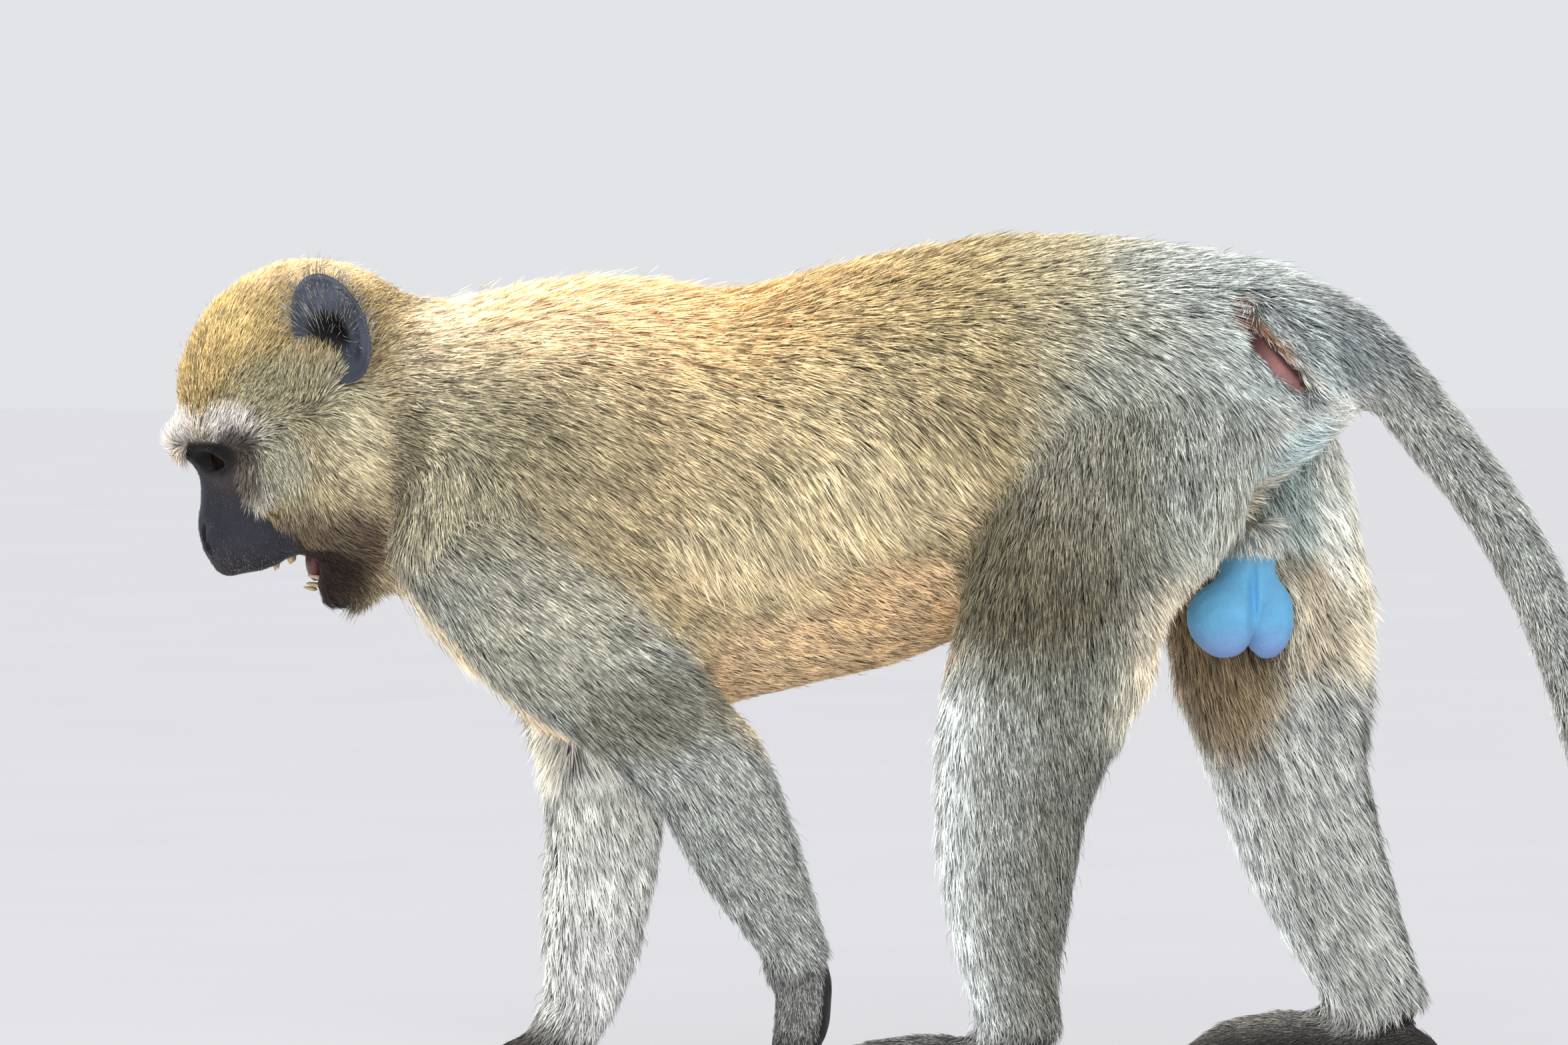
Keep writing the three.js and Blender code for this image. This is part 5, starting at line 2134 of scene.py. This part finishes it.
@dataclass
class Eyes:
    """The eyeballs, each with a bulging cornea.

    Attributes:
        plan: The body plan.
        socket: Their places.
        bulge: How far the cornea stands out, as a share of the radius.
        slack: How much smaller than its socket the ball is.
    """

    plan: BodyPlan
    socket: EyeSocket
    bulge: float = 0.05
    slack: float = 0.6

    def build(self, side: Side) -> bpy.types.Object:
        """Makes one eyeball, dressed and standing for its node.

        Args:
            side: Which eye.

        Returns:
            The piece.
        """
        centre, gaze, out, up = self.socket.axes(side)
        points, faces = ball(64, 48)
        away = np.hypot(points[:, 0], points[:, 1])
        front = points[:, 2] > 0
        swell = 1.0 + self.bulge * np.where(front, ramp(away, 0.78, 0.2), 0.0)
        axes = np.stack([out, up, gaze])
        placed = centre + (points @ axes) * (swell * (self.socket.radius - self.slack))[:, None]
        if np.linalg.det(axes) < 0:
            faces = faces[:, ::-1]
        name = side.name.lower()
        eye = mesh_object(f"eyeball_{name}", self.plan.to_frame(placed), faces)
        paint_values(eye, "from_gaze", np.where(front, away, 2.0 - away))
        paint_values(eye, "round_gaze", np.abs(np.arctan2(points[:, 1], points[:, 0])) / math.pi)
        EyeFinish(f"wet_eye_{name}").dress(eye)
        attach(eye, "root")
        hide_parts(f"eye_{name}")
        return eye


@dataclass(frozen=True)
class ToothRow:
    """A bent row of teeth.

    Attributes:
        name: The piece's name.
        count: How many teeth.
        front: Where the first stands, as x and z.
        arch: Half the row's width.
        reach: How far the row bends back.
        climb: How x and z change along the reach.
        length: Length of a tooth.
        thick: Half its thickness.
        way: Where the tips point.
        fang: How far from the middle of the row the fangs stand, in teeth.
        canine: How much longer they are.
        bend: How far the row turns from end to end, in radians.
    """

    name: str
    count: int
    front: tuple[float, float]
    arch: float
    reach: float
    climb: tuple[float, float]
    length: float
    thick: float
    way: Triple
    fang: float
    canine: float
    bend: float = 2.9

    def build(self, plan: BodyPlan) -> bpy.types.Object:
        """Makes the row, each tooth a rounded wedge on its root.

        Args:
            plan: The body plan.

        Returns:
            The piece, without a finish.
        """
        unit_ball, faces = ball(14, 10)
        points, triangles, grown = [], [], []
        way = unit(np.array(self.way))
        for i in range(self.count):
            angle = (i / (self.count - 1) - 0.5) * self.bend
            back, aside = 1 - math.cos(angle), math.sin(angle)
            x, z = (start + back * self.reach * climb for start, climb in zip(self.front, self.climb))
            root = np.array((x, self.arch * aside, z))
            from_middle = abs(i - (self.count - 1) / 2)
            is_canine = abs(from_middle - self.fang) < 0.1
            long = self.length * (self.canine if is_canine else 1.0)
            along_row = unit(np.array((math.sin(angle), math.cos(angle), 0.0)))
            deep = unit(np.cross(along_row, way))
            share = unit_ball[:, 2] * 0.5 + 0.5
            narrow = 1.0 - (0.62 if is_canine else 0.25) * share
            depth = 0.8 - 0.3 * share if is_canine else 0.75 - 0.4 * share
            shape = (
                along_row * (unit_ball[:, 0] * self.thick * 0.95 * narrow)[:, None]
                + deep * (unit_ball[:, 1] * self.thick * depth)[:, None]
                + way * ((share * 1.15 - 0.15) * long)[:, None]
            )
            points.append(root + shape)
            triangles.append(faces + i * len(unit_ball))
            grown.append(share)
        row = mesh_object(self.name, plan.to_frame(np.concatenate(points)), np.concatenate(triangles))
        paint_values(row, "way_up", np.concatenate(grown))
        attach(row, "root")
        return row


@dataclass
class Tongue:
    """The tongue, lying in the lower jaw with a groove down its middle.

    Attributes:
        plan: The body plan.
        fill: How much of its node's box it fills along x, y and z.
        groove: Half the groove's width, as a share of the tongue's.
        notch: How far the groove draws its tip back, as a share of its half-length.
    """

    plan: BodyPlan
    fill: Triple = (0.8, 0.9, 0.86)
    groove: float = 0.16
    notch: float = 0.3

    def build(self) -> bpy.types.Object:
        """Shapes the tongue inside the node that it stands for.

        Returns:
            The piece.
        """
        low, high = (self.plan.to_plan(corner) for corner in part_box("tongue"))
        middle, half = (low + high) / 2, (high - low) / 2
        points, faces = ball(40, 28)
        groove = np.exp(-((points[:, 1] / self.groove) ** 2)) * ramp(-points[:, 0], 0.0, 0.6)
        shaped = points * half * self.fill
        shaped[:, 0] += groove * half[0] * self.notch
        tongue = mesh_object("tongue_wet", self.plan.to_frame(middle + shaped), faces)
        TongueFinish("tongue").dress(tongue)
        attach(tongue, "root")
        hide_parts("tongue")
        return tongue


@dataclass
class Nails:
    """The nails of one hand or foot: narrow arched plates, rounded at their free end.

    Attributes:
        plan: The body plan.
        name: The piece's name.
        places: Each digit's tip, heading and half-thickness.
        along: Corners from root to free end.
        across: Corners from side to side.
        bend: How far they turn from their middle to their sides, in radians.
        droop: How far their free end comes down.
        plate: Their thickness.
    """

    plan: BodyPlan
    name: str
    places: list[tuple[Array, float, float]]
    along: int = 9
    across: int = 9
    bend: float = 1.15
    droop: float = 1.9
    plate: float = 0.55

    def build(self) -> bpy.types.Object:
        """Makes the nails as one dressed piece.

        Returns:
            The piece.
        """
        run, side = np.meshgrid(np.linspace(0, 1, self.along), np.linspace(-1, 1, self.across), indexing="ij")
        grid = np.arange(run.size).reshape(run.shape)
        a, b, c, d = grid[:-1, :-1], grid[1:, :-1], grid[1:, 1:], grid[:-1, 1:]
        top = np.stack([a, b, c, d], -1).reshape(-1, 4)
        rim = np.concatenate([grid[0, :-1], grid[:-1, -1], grid[-1, :0:-1], grid[:0:-1, 0]])
        after = np.roll(rim, -1)
        hem = np.stack([rim, rim + run.size, after + run.size, after], 1)
        closed = np.concatenate([top[:, ::-1], top + run.size, hem[:, ::-1]])
        points, faces, grown = [], [], []
        for number, (tip, turn, thick) in enumerate(self.places):
            ahead = np.array((-math.cos(turn), math.sin(turn), 0.0))
            aside = np.array((math.sin(turn), math.cos(turn), 0.0))
            half = thick * 0.62 * np.sqrt(np.clip(1.0 - (0.72 * run) ** 6, 0.05, 1.0)) * (0.9 + 0.1 * run)
            out = half * np.sin(side * self.bend)
            rise = half * (np.cos(side * self.bend) - 1.0) * 0.9 - self.droop * run**2
            length = (run * 1.35 - 1.0) * thick * 1.25
            middle = tip + (0, 0, thick * 0.78)
            lifted = np.stack([0 * run, 0 * run, rise], -1)
            sheet = (middle + ahead * length[..., None] + aside * out[..., None] + lifted).reshape(-1, 3)
            points += [sheet, sheet - (0, 0, self.plate)]
            faces.append(closed + number * 2 * run.size)
            grown += [run.ravel(), run.ravel()]
        nails = mesh_object(self.name, self.plan.to_frame(np.concatenate(points)), np.concatenate(faces))
        paint_values(nails, "way_up", np.concatenate(grown))
        HardFinish(self.name, (0.05, 0.04, 0.036), (0.014, 0.012, 0.012), 0.35).dress(nails)
        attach(nails, "root")
        return nails


# ---- studio
@dataclass
class Studio:
    """A plain pale floor, soft light and the camera at the animal's left side.

    Attributes:
        plan: The body plan.
        target: What the camera looks at, in the plan.
        distance: How far away it stands, in millimetres.
        tilt: How far above level it stands, in degrees.
        wide: Width of the view at the target, in millimetres.
        sky: Strength of the light from all round.
        sky_tint: Its colour, linear.
        sun: Strength of the soft light from above.
        sun_tint: Its colour, linear.
        sun_wide: How wide it looks, in degrees.
        sun_from: Where it shines from, in metres.
        fill: Power of the lamp on the camera's side.
        fill_wide: How wide the lamp is, in metres.
        fill_from: Where it hangs, in metres.
        aim: What the lights point at, in metres.
        floor: Half the floor's width, in metres.
    """

    plan: BodyPlan
    target: Triple = (0.0, 0.0, 233.8)
    distance: float = 4000.0
    tilt: float = 2.0
    wide: float = 635.0
    sky: float = 0.8
    sky_tint: Triple = (0.95, 0.97, 1.0)
    sun: float = 3.6
    sun_tint: Triple = (1.0, 0.95, 0.86)
    sun_wide: float = 24.0
    sun_from: Triple = (-0.9, 0.55, 2.2)
    fill: float = 32.0
    fill_wide: float = 1.8
    fill_from: Triple = (-0.5, -2.6, 1.2)
    aim: Triple = (0.0, 0.0, 0.2)
    floor: float = 12.0

    def build(self) -> None:
        """Sets up the floor, the light and the camera."""
        corners = np.array([[-1, -1, 0], [1, -1, 0], [1, 1, 0], [-1, 1, 0]]) * self.floor
        floor = mesh_object("floor", corners, np.array([[0, 1, 2, 3]]))
        FloorFinish("pale_floor").dress(floor)
        self.light()
        self.camera()
        bpy.context.scene.view_settings.view_transform = "Standard"
        log.info("studio")

    def light(self) -> None:
        """Lights the sky and hangs both lamps."""
        world = bpy.data.worlds.new("studio")
        bpy.context.scene.world = world
        world.use_nodes = True
        background = world.node_tree.nodes["Background"]
        background.inputs["Color"].default_value = (*self.sky_tint, 1.0)
        background.inputs["Strength"].default_value = self.sky
        sun = bpy.data.lights.new("sun", "SUN")
        sun.energy, sun.angle, sun.color = self.sun, math.radians(self.sun_wide), self.sun_tint
        self.hang(sun, self.sun_from)
        fill = bpy.data.lights.new("fill", "AREA")
        fill.size, fill.energy = self.fill_wide, self.fill
        self.hang(fill, self.fill_from)

    def hang(self, light: bpy.types.Light, place: Triple) -> None:
        """Hangs a lamp that points at the animal.

        Args:
            light: Its light.
            place: Where it hangs, in metres.
        """
        lamp = bpy.data.objects.new(light.name, light)
        lamp.location = place
        lamp.rotation_euler = (Vector(self.aim) - Vector(place)).to_track_quat("-Z", "Y").to_euler()
        bpy.context.scene.collection.objects.link(lamp)

    def camera(self) -> None:
        """Stands the camera at the animal's left side."""
        lens = bpy.data.cameras.new("camera")
        lens.lens = lens.sensor_width * self.distance / self.wide
        lens.clip_end = 100.0
        camera = bpy.data.objects.new("camera", lens)
        target = Vector(self.plan.to_frame(self.target))
        lean = math.radians(self.tilt)
        camera.location = target + Vector((0.0, -math.cos(lean), math.sin(lean))) * self.distance * MM
        camera.rotation_euler = (target - camera.location).to_track_quat("-Z", "Y").to_euler()
        bpy.context.scene.collection.objects.link(camera)
        bpy.context.scene.camera = camera


# ---- making
def dress_skin(plan: BodyPlan, skin: Skin, markings: Markings) -> None:
    """Makes the skin's piece and lays its finish on it.

    Args:
        plan: The body plan.
        skin: The shaped skin.
        markings: Its colours.
    """
    made = mesh_object("skin", plan.to_frame(skin.surface.points), skin.surface.triangles)
    paint_values(made, "hide_colour", linear(markings.hide))
    paint_values(made, "bare", markings.bare)
    SkinFinish("wrinkled_skin").dress(made)
    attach(made, "root")
    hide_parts(*skin.flesh_nodes())
    log.info("%s: %d faces", made.name, len(made.data.polygons))


def make_mouth(plan: BodyPlan) -> None:
    """Makes the teeth and the tongue.

    Args:
        plan: The body plan.
    """
    rows = (
        ToothRow("teeth_upper", 12, (-221, 217), 12.2, 24.5, (1, 0.2), 4, 1.6, (0.05, 0, -1), 4.5, 1.4),
        ToothRow("teeth_lower", 8, (-190, 206.5), 7.5, 11, (0.75, 0.9), 5, 1.4, (-0.98, 0, 0.18), 2.5, 1.4),
    )
    enamel = HardFinish("ivory_teeth", (0.62, 0.5, 0.27), (0.36, 0.23, 0.09), 0.3, 1500.0)
    enamel.dress(*(row.build(plan) for row in rows))
    log.info("teeth: %d rows", len(rows))
    Tongue(plan).build()
    log.info("tongue")


def make_nails(plan: BodyPlan) -> None:
    """Makes the nails of both hands and both feet.

    Args:
        plan: The body plan.
    """
    for name, digits in DIGIT_ROWS.items():
        Nails(plan, f"nails_{name}", digits.tips()).build()
        log.info("nails of %s", name)


def main() -> None:
    """Builds the animal and its studio, and notes the sizes."""
    logging.basicConfig(level=logging.INFO)
    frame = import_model()
    plan = BodyPlan(frame)
    Studio(plan).build()
    skin = Skin(plan)
    skin.build()
    markings = Markings(skin)
    dress_skin(plan, skin, markings)
    coat = Coat(markings, plan)
    finish = CoatFinish("agouti_hair").material()
    for seed, piece in enumerate(COAT_PIECES):
        made = coat.build(piece, seed)
        made.data.materials.append(finish)
        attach(made, "root")
        log.info("%s: %d faces", piece.name, len(made.data.polygons))
    eyes = Eyes(plan, skin.socket)
    for side in Side:
        log.info(eyes.build(side).name)
    make_mouth(plan)
    make_nails(plan)


if __name__ == "__main__":
    main()
